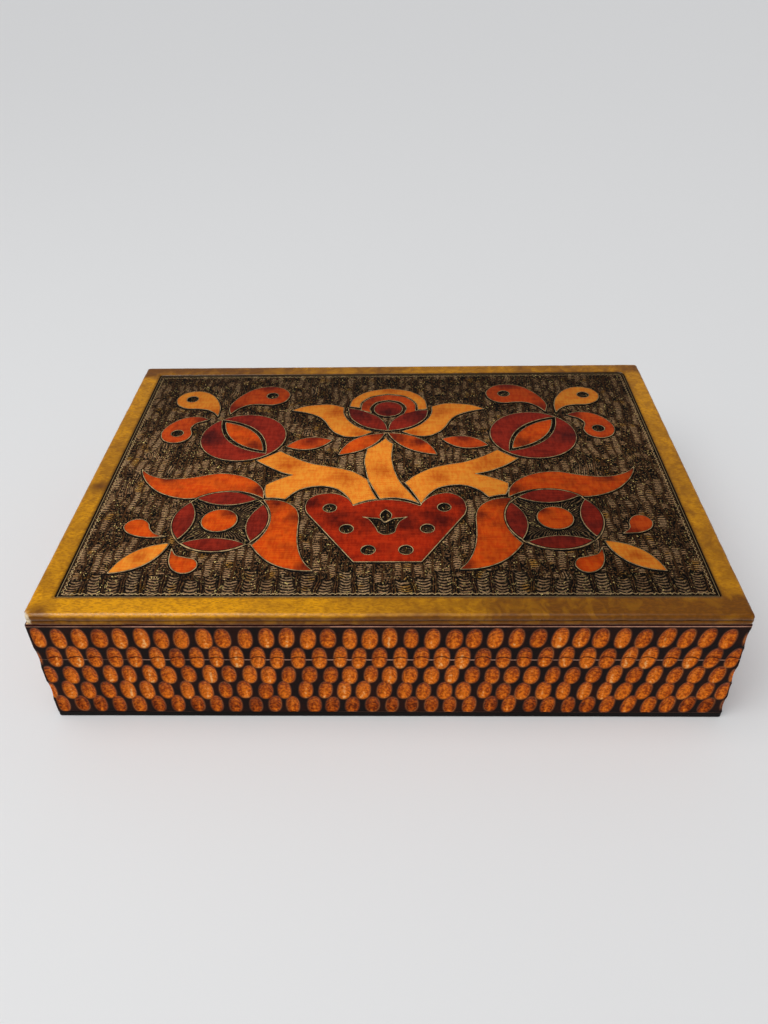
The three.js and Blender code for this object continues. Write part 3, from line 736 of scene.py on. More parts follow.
class NodeSheet:
    """A new material's nodes, with short ways to add and join them."""

    usual_noise: Point = (0.3, 0.7)
    noise_shift: Place = (7.37, 3.61, 5.23)

    def __init__(self, name: str) -> None:
        """Starts a material with a Principled shader on its output.

        Args:
            name: the material's name.
        """
        self.material = bpy.data.materials.new(name)
        self.material.use_nodes = True
        self.tree = self.material.node_tree
        self.tree.nodes.clear()
        self.shader = self.add("BsdfPrincipled")
        self.add("OutputMaterial", {"Surface": self.shader.outputs["BSDF"]})
        self.place = self.add("TexCoord").outputs["Object"]

    def add(self, kind: str, sockets: dict | None = None, **settings: object) -> bpy.types.Node:
        """Adds a node.

        Args:
            kind: the shader node's type.
            sockets: what each input is joined or set to, by its name or number.
            **settings: the node's own settings.

        Returns:
            The node.
        """
        node = self.tree.nodes.new(f"ShaderNode{kind}")
        for label, value in settings.items():
            setattr(node, label, value)
        for label, source in (sockets or {}).items():
            self.join(source, node.inputs[label])
        return node

    def join(self, source: object, target: Socket) -> None:
        """Links a socket to a target, or sets the target to a plain value or to an opaque colour.

        Args:
            source: the socket, value or colour.
            target: the input that gets it.
        """
        if isinstance(source, Socket):
            self.tree.links.new(source, target)
        else:
            target.default_value = (*source, 1.0) if target.type == "RGBA" else source

    def value_of(self, label: str) -> Socket:
        """A vertex field's number."""
        return self.add("Attribute", attribute_name=label).outputs["Fac"]

    def colour_of(self, label: str) -> Socket:
        """A vertex field's colour."""
        return self.add("Attribute", attribute_name=label).outputs["Color"]

    def scaled(self, *per_metre: float) -> Socket:
        """Object coordinates times per_metre and shifted, or all octaves' cells would meet at the middle."""
        sockets = {"Vector": self.place, "Scale": per_metre, "Location": self.noise_shift}
        return self.add("Mapping", sockets).outputs["Vector"]

    def noise(self, vector: Socket, detail: float = 3.0, distortion: float = 0.0) -> Socket:
        """Noise from 0 to 1 with a cell of one unit of the vector."""
        sockets = {"Vector": vector, "Scale": 1.0, "Detail": detail, "Distortion": distortion}
        return self.add("TexNoise", sockets).outputs["Fac"]

    def span(
        self, value: object, low: float, high: float, to_low: float = 0.0, to_high: float = 1.0,
    ) -> Socket:
        """Maps low to high smoothly onto to_low to to_high, clamped."""
        sockets = {"Value": value, "From Min": low, "From Max": high, "To Min": to_low, "To Max": to_high}
        return self.add("MapRange", sockets, interpolation_type="SMOOTHSTEP").outputs["Result"]

    def swing(self, noise: Socket, to_low: float, to_high: float) -> Socket:
        """Maps the values that a noise mostly takes onto to_low to to_high."""
        return self.span(noise, *self.usual_noise, to_low, to_high)

    def step(self, value: Socket, level: float, soft: float) -> Socket:
        """0 below a level and 1 above it, with a soft edge on both sides of it."""
        return self.span(value, level - soft, level + soft)

    def line(self, value: Socket, level: float, outer: float, inner: float, full: float = 1.0) -> Socket:
        """A soft line where a value is near a level: full within the inner distance, 0 past the outer one."""
        away = self.sum("SUBTRACT", value, level) if level else value
        return self.span(self.sum("ABSOLUTE", away), outer, inner, 0.0, full)

    def sum(self, operation: str, first: object, second: object = 0.0) -> Socket:
        """A Math node's result."""
        return self.add("Math", {0: first, 1: second}, operation=operation).outputs["Value"]

    def mix(self, share: object, first: object, second: object) -> Socket:
        """The first colour, turned into the second by a share."""
        return self._mixed("RGBA", "RGBA", share, first, second)

    def blend_number(self, share: object, first: object, second: object) -> Socket:
        """The first number, turned into the second by a share."""
        return self._mixed("FLOAT", "VALUE", share, first, second)

    def _mixed(self, data_type: str, kind: str, share: object, first: object, second: object) -> Socket:
        """Joins a Mix node's factor and its two inputs of a kind, and gives its output of that kind.

        Args:
            data_type: what the node mixes.
            kind: the type of its sockets.
            share: the factor.
            first, second: what is mixed.

        Returns:
            The mixed output.
        """
        node = self.add("Mix", {"Factor": share}, data_type=data_type)
        for label, source in (("A", first), ("B", second)):
            self.join(source, next(s for s in node.inputs if s.name == label and s.type == kind))
        return next(s for s in node.outputs if s.type == kind)

    def times(self, colour: Socket, factor: Socket) -> Socket:
        """A colour made lighter or darker by a factor."""
        return self.add("VectorMath", {0: colour, "Scale": factor}, operation="SCALE").outputs["Vector"]

    def bump(self, height: Socket, strength: float, distance: float) -> None:
        """Bends the shader's normal by a height."""
        node = self.add("Bump", {"Height": height, "Strength": strength, "Distance": distance})
        self.join(node.outputs["Normal"], self.shader.inputs["Normal"])

    def finish(self, colour: object, roughness: object, **constants: float) -> Material:
        """Joins colour and roughness to the shader and sets its other sockets by name.

        Args:
            colour: the base colour, as a socket or three channels.
            roughness: the roughness, as a socket or a number.
            **constants: other sockets, with underscores for spaces.

        Returns:
            The finished material.
        """
        self.join(colour, self.shader.inputs["Base Color"])
        self.join(roughness, self.shader.inputs["Roughness"])
        for label, number in constants.items():
            self.shader.inputs[label.replace("_", " ")].default_value = number
        return self.material


# Finishes


@dataclass(frozen=True)
class LidPaint:
    """Stained and lacquered shapes with a pale cut line, a burnt black line and a rippled, burnt ground."""

    pale_line: Colour = linear(200, 168, 118)
    black: Colour = linear(8, 6, 5)
    # Burnt ground: black valleys and lighter crests, partly the burn's own colour, partly painted shade and
    # highlight.
    valley: Colour = linear(8, 5, 3)
    ridge: Colour = linear(136, 86, 44)
    grey_ridge: Colour = linear(172, 136, 98)
    ochre: Colour = linear(164, 112, 30)
    speck: Colour = linear(240, 210, 130)
    cut_from: float = -0.2
    cut_to: float = 0.08
    stain_from: float = 0.16
    black_width: float = 0.7
    scribe_half_width: float = 0.6
    thread_half_width: float = 0.15
    frame_line_width: float = 1.15
    hairline_inset: float = 0.6
    lane_line: float = 0.32
    crest_power: float = 4.0

    def make(self) -> Material:
        """Builds the material.

        Returns:
            The finished material.
        """
        sheet = NodeSheet("lid_paint")
        edge = sheet.value_of("edge")
        flat = sheet.span(edge, -0.2, 0.3)
        broken = sheet.span(sheet.noise(sheet.scaled(300, 300, 300)), 0.36, 0.58, 0.4, 1.0)
        colour = sheet.mix(sheet.step(edge, -self.black_width, 0.15), self.ground(sheet), self.black)
        cut_begins, cut_ends = sheet.step(edge, self.cut_from, 0.06), sheet.step(edge, self.cut_to, 0.04)
        cut = sheet.sum("SUBTRACT", cut_begins, cut_ends)
        colour = sheet.mix(sheet.sum("MULTIPLY", cut, broken), colour, self.pale_line)
        stained = sheet.span(edge, self.stain_from, self.stain_from + 0.1)
        colour = sheet.mix(stained, colour, self.stained_wood(sheet))
        scribe = sheet.value_of("scribe")
        half = self.scribe_half_width
        colour = sheet.mix(sheet.line(scribe, 0.0, half + 0.15, half, 0.85), colour, self.black)
        colour = sheet.mix(sheet.sum("MULTIPLY", self.thread(sheet, scribe), broken), colour, self.pale_line)
        # The shade field darkens the field towards the back and the front right: partly darker stain, partly
        # painted shade.
        colour = sheet.times(colour, sheet.value_of("shade"))
        fine = sheet.noise(sheet.scaled(900, 900, 900), detail=2.0)
        cloud = sheet.noise(sheet.scaled(70, 90, 70), detail=4.0)
        roughness = sheet.blend_number(flat, 0.6, sheet.span(cloud, 0.35, 0.65, 0.3, 0.42))
        sheet.bump(sheet.sum("MULTIPLY", fine, sheet.sum("SUBTRACT", 1.15, flat)), 0.35, 0.0003)
        return sheet.finish(colour, roughness, Specular_IOR_Level=0.04)

    def thread(self, sheet: NodeSheet, away: Socket, full: float = 1.0) -> Socket:
        """A fine scribed line where a distance is 0."""
        return sheet.line(away, 0.0, self.thread_half_width + 0.12, self.thread_half_width - 0.06, full)

    def ground(self, sheet: NodeSheet) -> Socket:
        """The burnt ground: ridges over valleys, double lines in the lanes, specks and the frame's lines.

        Args:
            sheet: the material's nodes.

        Returns:
            The colour. The ridges are cosines of the stack field, so they stay crisp between vertices. Their
            lighter colour over the black valleys is partly the burn's own and partly painted highlight and
            painted shade.
        """
        wave = sheet.sum("COSINE", sheet.sum("MULTIPLY", sheet.value_of("stack"), 2 * math.pi))
        lane = sheet.value_of("lane")
        crest = sheet.span(wave, -0.8, 0.9)
        sharp = sheet.sum("POWER", crest, self.crest_power)
        crest = sheet.blend_number(sheet.span(lane, -1.0, 0.0), sharp, crest)
        crest = sheet.sum("MULTIPLY", crest, sheet.value_of("mask"))
        grit = sheet.noise(sheet.scaled(1250, 900, 1250), detail=2.0)
        calm = sheet.sum("MULTIPLY", sheet.span(lane, -1.0, 0.0, 0.1), sheet.value_of("grit"))
        loose = sheet.sum("MULTIPLY", sheet.span(grit, 0.32, 0.68, -0.28, 0.42), calm)
        height = sheet.sum("ADD", crest, loose)
        blotch = sheet.noise(sheet.scaled(130, 130, 130), detail=3.0)
        tone = sheet.mix(sheet.value_of("dash"), self.ridge, self.grey_ridge)
        tone = sheet.mix(sheet.span(blotch, 0.56, 0.7, 0.0, 0.8), tone, self.ochre)
        # Lighter on the crests than in the valleys: partly the burn, partly painted highlight and painted
        # shade.
        colour = sheet.mix(sheet.span(height, 0.04, 1.0), self.valley, tone)
        colour = sheet.mix(sheet.line(lane, self.lane_line, 0.2, 0.05, 0.25), colour, self.ridge)
        speckle = sheet.noise(sheet.scaled(1500, 1000, 1500), detail=1.0)
        cluster = sheet.noise(sheet.scaled(115, 90, 115), detail=2.0)
        dense = sheet.span(cluster, 0.5, 0.66, 0.35, 1.0)
        specks = sheet.sum("MULTIPLY", sheet.span(speckle, 0.66, 0.72), dense)
        colour = sheet.mix(specks, colour, self.speck)
        inset = sheet.value_of("inset")
        border_line = sheet.span(inset, self.frame_line_width + 0.2, self.frame_line_width - 0.1)
        colour = sheet.mix(border_line, colour, self.black)
        colour = sheet.mix(sheet.line(inset, self.hairline_inset, 0.22, 0.06, 0.5), colour, self.pale_line)
        return sheet.mix(self.thread(sheet, sheet.value_of("stitch"), 0.8), colour, self.pale_line)

    @staticmethod
    def stained_wood(sheet: NodeSheet) -> Socket:
        """The stain field's colour over wood: grain and flecks multiply it by itself a little.

        Args:
            sheet: the sheet that gets the nodes.

        Returns:
            The colour's socket.
        """
        grain = sheet.noise(sheet.scaled(140, 1500, 140), detail=4.0)
        fleck = sheet.noise(sheet.scaled(900, 260, 900), detail=3.0)
        wood = sheet.sum("ADD", sheet.swing(grain, -0.5, 0.5), sheet.swing(fleck, -0.5, 0.5))
        stain = sheet.colour_of("stain")
        darker = sheet.mix(1.0, stain, stain)
        darker.node.blend_type = "MULTIPLY"
        return sheet.mix(sheet.span(wood, -0.6, 0.7, 0.0, 0.46), stain, darker)


@dataclass(frozen=True)
class BorderPaint:
    """Mustard lacquer with fine slanting flecks, browner where the shade field says, partly as painted light,
    and pale where worn.
    """

    bright: Colour = linear(226, 154, 4)
    brown: Colour = linear(104, 60, 4)
    fleck: Colour = linear(132, 76, 0)
    bare_wood: Colour = linear(226, 206, 172)
    # The black line at the field's edge, and the painted shade in the groove of the edge.
    groove: Colour = linear(34, 20, 9)
    fleck_slant: float = math.radians(28)
    flecks_per_metre: Place = (650.0, 1500.0, 650.0)

    def make(self) -> Material:
        """Builds the material.

        Returns:
            The finished material.
        """
        sheet = NodeSheet("border_paint")
        cloud = sheet.noise(sheet.scaled(38, 46, 38), detail=4.0, distortion=0.4)
        figure = sheet.noise(sheet.scaled(190, 150, 190), detail=3.0, distortion=0.8)
        share = sheet.sum("ADD", sheet.value_of("shade"), sheet.swing(cloud, -0.12, 0.12))
        share = sheet.sum("ADD", share, sheet.swing(figure, -0.14, 0.16))
        colour = sheet.mix(share, self.bright, self.brown)
        turned = {"Rotation": (0.0, 0.0, self.fleck_slant), "Scale": self.flecks_per_metre}
        slanting = sheet.add("Mapping", {"Vector": sheet.place, **turned})
        flecks = sheet.noise(slanting.outputs["Vector"], detail=3.0)
        colour = sheet.mix(sheet.span(flecks, 0.4, 0.68, 0.0, 0.52), colour, self.fleck)
        # Dark lines: the black line at the field's edge and painted shade in the groove.
        colour = sheet.mix(sheet.value_of("line"), colour, self.groove)
        colour = sheet.mix(sheet.value_of("worn"), colour, self.bare_wood)
        wave = sheet.noise(sheet.scaled(60, 220, 220), detail=3.0)
        sheet.bump(sheet.sum("ADD", wave, sheet.sum("MULTIPLY", flecks, 0.12)), 0.25, 0.0008)
        roughness = sheet.swing(cloud, 0.24, 0.36)
        return sheet.finish(colour, roughness, Specular_IOR_Level=0.12, Coat_Weight=0.16, Coat_Roughness=0.14)


@dataclass(frozen=True)
class CarvedStain:
    """Near-black stain, cut through to orange-brown wood in the scoops, with burnt rims and worn edges.

    Part of its colour is painted light: painted shade at the scoops' tops and near the foot, painted
    highlights down the scoops, on their rims and under the lid board, a painted glint at the foot, and
    painted shadow under the lid board and along the seam.
    """

    dark: Colour = linear(22, 13, 12)
    dark_warm: Colour = linear(40, 18, 12)
    rim_brown: Colour = linear(84, 46, 28)
    cut_bright: Colour = linear(232, 122, 28)
    cut_red: Colour = linear(170, 74, 16)
    # Painted shade in the scoops: at their tops, where their tone is low, and along their rims.
    cut_shadow: Colour = linear(98, 38, 10)
    # A painted highlight: the gleams in the scoops and the light along their rims.
    glint: Colour = linear(252, 190, 116)
    # Bare wood where edges are worn, also used for the painted highlights under the lid board and at the
    # foot.
    bare_wood: Colour = linear(226, 166, 136)
    # Black painted shadow under the lid board and along the seam above the base walls.
    burnt: Colour = linear(50, 10, 8)
    # How far inside the rim, in mm, the painted highlight along the scoops' rims lies.
    lit_rim: float = 0.28

    def make(self) -> Material:
        """Builds the material.

        Returns:
            The finished material.
        """
        sheet = NodeSheet("carved_stain")
        rim = sheet.value_of("rim")
        patch = sheet.noise(sheet.scaled(120, 120, 120), detail=3.0)
        fibre = sheet.noise(sheet.scaled(1500, 1500, 260), detail=4.0)
        mottle = sheet.noise(sheet.scaled(900, 900, 1000), detail=3.0)
        # The tone field holds each scoop's own tone together with its painted shade and painted highlights.
        tone = sheet.sum("ADD", sheet.value_of("tone"), sheet.span(mottle, 0.32, 0.68, -0.5, 0.5))
        cut = sheet.mix(sheet.span(tone, 0.1, 1.1), self.cut_red, self.cut_bright)
        # A painted glint where the tone runs highest.
        cut = sheet.mix(sheet.span(tone, 1.15, 1.7, 0.0, 0.8), cut, self.glint)
        # Painted shade where the tone is low, and along the rims, partly stain pooled there; the fibres
        # darken the grain.
        shadows = (sheet.span(tone, 0.2, -0.45, 0.0, 0.95), sheet.span(fibre, 0.5, 0.75, 0.0, 0.4))
        for shadow in (*shadows, sheet.span(rim, 0.9, 0.1, 0.0, 0.6)):
            cut = sheet.mix(shadow, cut, self.cut_shadow)
        # A painted highlight along the scoops' rims.
        lit = sheet.line(rim, self.lit_rim, 0.2, 0.04)
        cut = sheet.mix(sheet.sum("MULTIPLY", lit, sheet.span(patch, 0.35, 0.65, 0.0, 0.16)), cut, self.glint)
        dark = sheet.mix(sheet.span(patch, 0.4, 0.7), self.dark, self.dark_warm)
        halo = sheet.mix(sheet.span(rim, -0.4, 0.0), dark, self.rim_brown)
        colour = sheet.mix(sheet.span(rim, -0.04, 0.34), halo, cut)
        # The worn field: above 0 worn wood and painted highlights, below 0 painted shadow.
        worn = sheet.value_of("worn")
        colour = sheet.mix(sheet.span(worn, 0.0, 1.0), colour, self.bare_wood)
        colour = sheet.mix(sheet.span(worn, 0.0, -1.0), colour, self.burnt)
        roughness = sheet.blend_number(sheet.span(rim, 0.0, 0.4), sheet.swing(patch, 0.36, 0.5), 0.34)
        sheet.bump(sheet.sum("ADD", fibre, mottle), 0.3, 0.0003)
        return sheet.finish(colour, roughness, Specular_IOR_Level=0.05)


@dataclass(frozen=True)
class PlainWood:
    """Bare pale wood with its grain along one axis, for the inside of the box and the seam faces."""

    name: str = "plain_wood"
    grain_per_metre: Place = (14.0, 420.0, 420.0)
    pore_scale: float = 3.2
    early: Colour = linear(214, 176, 128)
    late: Colour = linear(176, 130, 84)

    def make(self) -> Material:
        """Builds the material.

        Returns:
            The finished material.
        """
        sheet = NodeSheet(self.name)
        rings = sheet.noise(sheet.scaled(*self.grain_per_metre), detail=5.0, distortion=0.6)
        fine_scale = tuple(self.pore_scale * scale for scale in self.grain_per_metre)
        pores = sheet.noise(sheet.scaled(*fine_scale), detail=2.0)
        colour = sheet.mix(sheet.span(rings, 0.35, 0.68), self.early, self.late)
        colour = sheet.mix(sheet.span(pores, 0.6, 0.8, 0.0, 0.4), colour, self.late)
        sheet.bump(pores, 0.2, 0.0002)
        return sheet.finish(colour, sheet.swing(rings, 0.5, 0.66), Specular_IOR_Level=0.35)


@dataclass(frozen=True)
class BasePly:
    """The base panel: bare wood above and below, with a black stained edge."""

    early: Colour = linear(204, 164, 116)
    late: Colour = linear(166, 122, 78)
    edge: Colour = linear(15, 11, 9)
    half_width: float = 0.139
    half_depth: float = 0.10015
    edge_wander: float = 0.0006

    def make(self) -> Material:
        """Builds the material.

        Returns:
            The finished material.
        """
        sheet = NodeSheet("base_ply")
        grain = sheet.noise(sheet.scaled(10, 300, 300), detail=5.0, distortion=0.5)
        wood = sheet.mix(sheet.span(grain, 0.35, 0.68), self.early, self.late)
        split = sheet.add("SeparateXYZ", {"Vector": sheet.place})
        rough_edge = sheet.noise(sheet.scaled(200, 200, 200), detail=3.0)
        wander = sheet.span(rough_edge, 0.2, 0.8, -self.edge_wander, self.edge_wander)
        past = []
        for axis, half in (("X", self.half_width), ("Y", self.half_depth)):
            reach = sheet.sum("ADD", sheet.sum("ABSOLUTE", split.outputs[axis]), wander)
            past.append(sheet.span(reach, half - 0.0004, half + 0.0002))
        colour = sheet.mix(sheet.sum("MAXIMUM", *past), wood, self.edge)
        sheet.bump(grain, 0.15, 0.0003)
        return sheet.finish(colour, sheet.swing(grain, 0.4, 0.6), Specular_IOR_Level=0.08)


@dataclass(frozen=True)
class AgedBrass:
    """Thin stamped brass, dulled in patches."""

    bright: Colour = linear(200, 160, 88)
    dull: Colour = linear(122, 90, 48)

    def make(self) -> Material:
        """Builds the material.

        Returns:
            The finished material.
        """
        sheet = NodeSheet("aged_brass")
        cloud = sheet.noise(sheet.scaled(240, 240, 240), detail=5.0)
        scratch = sheet.noise(sheet.scaled(400, 3000, 3000), detail=2.0)
        colour = sheet.mix(sheet.span(cloud, 0.4, 0.68), self.bright, self.dull)
        sheet.bump(scratch, 0.12, 0.0002)
        return sheet.finish(colour, sheet.swing(cloud, 0.26, 0.5), Metallic=1.0)


# The lid board


@dataclass
class LidBoard:
    """The lid's board: a rounded mustard border round a sunk field that carries the ornament."""

    node: str = "top_panel"
    body: str = "lid"
    slot: str = "lid_board"
    corner_round: float = 1.2
    corner_steps: int = 10
    edge_round: float = 1.8
    edge_steps: int = 8
    under_bevel: float = 0.3
    groove_below_top: Point = (3.15, 2.55)
    groove_depth: float = 0.28
    groove_slope: float = 0.15
    groove_painted_shade: float = 0.75
    side_border: float = 9.8
    front_border: float = 10.65
    back_border: float = 9.65
    field_corners: tuple[float, float, float, float] = (3.5, 1.0, 1.0, 1.0)
    inner_bevel: float = 0.35
    ring_step: float = 0.8
    dent_depth: float = 0.16
    chip_reach: Point = (4.4, 2.4)
    chip_depth: float = 0.7
    chip_ragged: float = 1.6
    corner_reach: float = 6.0
    rub_reach: Point = (3.2, 1.6)
    brown_blots: tuple[tuple[float, float, float, float], ...] = (
        (-136.0, 97.0, 11.0, 1.2), (136.0, 97.0, 10.0, 0.9), (-134.0, -98.0, 6.0, 0.8),
        (134.0, -98.0, 10.0, 1.0), (-134.0, -16.0, 7.0, 0.75), (-131.0, 34.0, 4.0, 0.6),
        (132.0, -38.0, 6.0, 0.75), (133.0, 14.0, 6.0, 0.75),
    )
    ground_drop: float = 0.62
    ripple_height: float = 0.34
    line_drop: float = 0.7
    line_place: Point = (-0.55, 0.35)
    cut_place: Point = (0.2, 0.2)
    cut_depth: float = 0.1
    shape_slope: Point = (-0.75, -0.1)
    calm_at_shapes: Point = (-0.3, -1.3)
    calm_at_frame: Point = (1.0, 1.6)
    calm_in_holes: float = 0.6
    field_step: Point = (0.5, 0.26)
    tiles: tuple[int, int] = (2, 3)
    tuck: float = 0.5
    stitch_inset: float = 2.2
    stitch_period: float = 2.3
    stitch_swing: float = 0.42
    column_width: float = 3.9
    ripple_pitch: float = 1.3
    streak_pitch: float = 1.15
    streaks_above: float = 0.82
    arc_bend: float = 1.5
    rung_bend: float = 0.16
    ladder_half_width: float = 2.7
    ladder_pitch: float = 1.65
    ladder_top: float = -78.0
    ladder_top_swing: float = 9.0
    stroke_pitch: float = 0.95
    spokes: float = 11.0

    def __post_init__(self) -> None:
        """Takes the board's size and place from its solid."""
        low, high = (np.array(corner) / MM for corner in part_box(self.node))
        self.half = (high - low)[:2] / 2
        self.floor, self.top = float(low[2]), float(high[2])
        self.field_low = np.array([self.side_border, self.front_border]) - self.half
        self.field_high = self.half - np.array([self.side_border, self.back_border])
        self.pot = FlowerPot()

    def build(self, paint: Material, border: Material, plain: Material) -> list[Piece]:
        """Makes the border and the tiles of the field.

        Args:
            paint: the field's material.
            border: the border's material.
            plain: the underside's material.

        Returns:
            The pieces.
        """
        pieces = [self.border().to_object("lid_border", [border, plain])]
        for column in range(self.tiles[0]):
            for row in range(self.tiles[1]):
                name = f"lid_field_{column + 1}_{row + 1}"
                pieces.append(self.tile(column, row).to_object(name, [paint, plain]))
        for piece in pieces:
            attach(piece, self.body)
            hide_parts(self.node)
        return pieces

    def loop(self, share: float) -> np.ndarray:
        """Points round the board, from its outline at a share of 0 to the field's edge at a share of 1.

        Args:
            share: how far inwards the loop runs.

        Returns:
            Points anticlockwise from the right side's front corner, as many for any share.
        """
        middle = (self.field_low + self.field_high) / 2 * share
        half = self.half + ((self.field_high - self.field_low) / 2 - self.half) * share
        corners = self.corner_round + (np.array(self.field_corners) - self.corner_round) * share
        sides = []
        for turn in range(4):
            out, along = half if turn % 2 == 0 else half[::-1]
            before, after = corners[turn - 1], corners[turn]
            steps = round(2 * self.half[1 - turn % 2] / self.ring_step)
            straight = np.linspace(before - along, along - after, steps)
            side = np.stack([np.full_like(straight, out), straight], axis=1)
            angle = np.linspace(0.0, np.pi / 2, self.corner_steps, endpoint=False)[1:]
            arc = np.array([out, along]) - after + after * np.stack([np.cos(angle), np.sin(angle)], axis=1)
            sides.append(quarter_turns(np.vstack([side, arc]), turn))
        return np.vstack(sides) + middle

    def section(self) -> tuple[np.ndarray, np.ndarray, np.ndarray]:
        """The border's section, from under the board up its grooved, rounded edge, in and down to the field.

        Returns:
            Each point's inset, height and darkness: the black line at the field's edge, and painted shade in
            the groove.
        """
        low, high = (self.top - below for below in self.groove_below_top)
        bevel_top = self.floor + self.under_bevel
        lip = [(self.side_border, self.floor), (self.under_bevel, self.floor), (0.0, bevel_top)]
        lip += [(0.0, (self.floor + low) / 2), (0.0, low)]
        groove = [(self.groove_depth, low + self.groove_slope), (self.groove_depth, high - self.groove_slope)]
        edge = [(0.0, high)]
        for angle in np.linspace(0.0, np.pi / 2, self.edge_steps):
            drop = self.edge_round * (1 - math.sin(angle))
            edge.append((self.edge_round * (1 - math.cos(angle)), self.top - drop))
        flat = np.linspace(self.edge_round, self.side_border - self.inner_bevel, 7)[1:]
        inner = [(self.side_border, self.top - self.inner_bevel), (self.side_border, bevel_top)]
        insets, heights = np.array(lip + groove + edge + [(inset, self.top) for inset in flat] + inner).T
        dark = smooth_step(0.5, 0.15, self.side_border - insets) * (heights > self.top - 1.0)
        # Painted shade in the groove under the rounded edge.
        dark[len(lip):len(lip) + len(groove)] = self.groove_painted_shade
        return insets, heights, dark

    def border(self) -> Surface:
        """The border as one closed ring that carries its section round the board.

        Returns:
            The surface, with shade, line and worn fields.
        """
        insets, heights, dark = self.section()
        loops = [
            np.insert(self.loop(inset / self.side_border), 2, height, axis=1)
            for inset, height in zip(insets, heights)
        ]
        grid = np.stack(loops, axis=1)
        stations, across = grid.shape[:2]
        grid, worn = self.weathered(grid, np.tile(insets, (stations, 1)))
        points = grid.reshape(-1, 3)
        column = np.tile(np.arange(across), stations)
        under = (column == 0) | (column == across - 1)
        fields = {"shade": self.shade(points), "line": np.tile(dark, stations), "worn": worn.ravel()}
        quads = grid_quads(stations, across, wrap=True, close=True)
        return Surface(points, quads, quad_finish=under.astype(int), quad_smooth=~under, fields=fields)

    def weathered(self, points: np.ndarray, insets: np.ndarray) -> tuple[np.ndarray, np.ndarray]:
        """Dents the rounded edge a little and chips the front left corner.

        Args:
            points: the ring's grid of points.
            insets: each point's distance from the outline.

        Returns:
            The moved points, and how worn each one is, from 0 to 1.
        """
        x, y, z = np.moveaxis(points, -1, 0)
        outer = insets < self.edge_round + 0.2
        dent = self.dent_depth * smooth_step(0.55, 0.95, soft_noise((x + y) / 5.5, z / 3.0, 11.0)) * outer
        corner = np.hypot(x + self.half[0], y + self.half[1])
        ragged = self.chip_ragged * soft_noise(x / 1.1 + z / 0.9, y / 1.1 + z / 1.3, 7.0)
        below_top = smooth_step(self.top + 0.3, self.top - 0.7, z)
        chip = smooth_step(*self.chip_reach, corner + ragged) * below_top * outer
        pull = (dent + self.chip_depth * chip)[..., None]
        shares = points / np.array([*self.half, np.inf])
        on_side = np.abs(shares[..., :1]) > np.abs(shares[..., 1:2])
        tilt = np.where(on_side, [1, 0, 0], [0, 1, 0])
        moved = points - pull * shares * np.where((corner < self.corner_reach)[..., None], 1.0, tilt)
        other_corners = np.hypot(np.abs(x) - self.half[0], np.abs(y) - self.half[1])
        rub = smooth_step(*self.rub_reach, other_corners + ragged) * outer * 0.5
        return moved, np.clip(chip + rub * (dent > 0.02), 0.0, 1.0)

    def shade(self, points: np.ndarray) -> np.ndarray:
        """How brown the border is on each side, in its corners and low on its edge.

        Args:
            points: places on the border.

        Returns:
            The share of brown: it rises along the front from left to right, is about half on the sides and
            more at the back and low on the edge. The front's rise and the browner back are partly stain and
            partly painted light: a painted reflection lightens the front's left.
        """
        x, y, z = points.T
        across = x / self.half[0]
        # Browner along the front to the right and at the back: partly stain, partly painted light, a painted
        # reflection lighting the front's left.
        front = 0.02 + 1.0 * smooth_step(-0.6, 0.75, across)
        side = np.where(across < 0, 0.4, 0.56 - 0.12 * smooth_step(-20.0, 70.0, y))
        back = 0.68 + 0.32 * smooth_step(-0.1, -0.75, across) + 0.12 * smooth_step(0.3, 0.8, across)
        at_front, at_back = smooth_step(-84.0, -95.0, y), smooth_step(84.0, 97.0, y)
        total = side * (1 - at_front - at_back) + front * at_front + back * at_back
        for place_x, place_y, reach, strength in self.brown_blots:
            total = np.maximum(total, strength * bell(np.hypot(x - place_x, y - place_y), reach))
        return np.clip(total + 0.8 * smooth_step(self.top - 0.3, self.top - 1.5, z), 0.0, 1.0)

    @staticmethod
    def lightness(x: np.ndarray, y: np.ndarray) -> np.ndarray:
        """How light the field is: full at the front left, and darker to the back and to the front right,
        partly as darker stain and partly as painted shade for the light's fall-off across the lid.

        Args:
            x, y: the points on the lid, in mm.

        Returns:
            A factor for each point's colour.
        """
        back = 1.0 - 0.42 * smooth_step(0.0, 85.0, y)
        right = 1.0 - 0.4 * smooth_step(0.0, 75.0, x) * (1.0 - 0.65 * smooth_step(-30.0, 50.0, y))
        return back * right

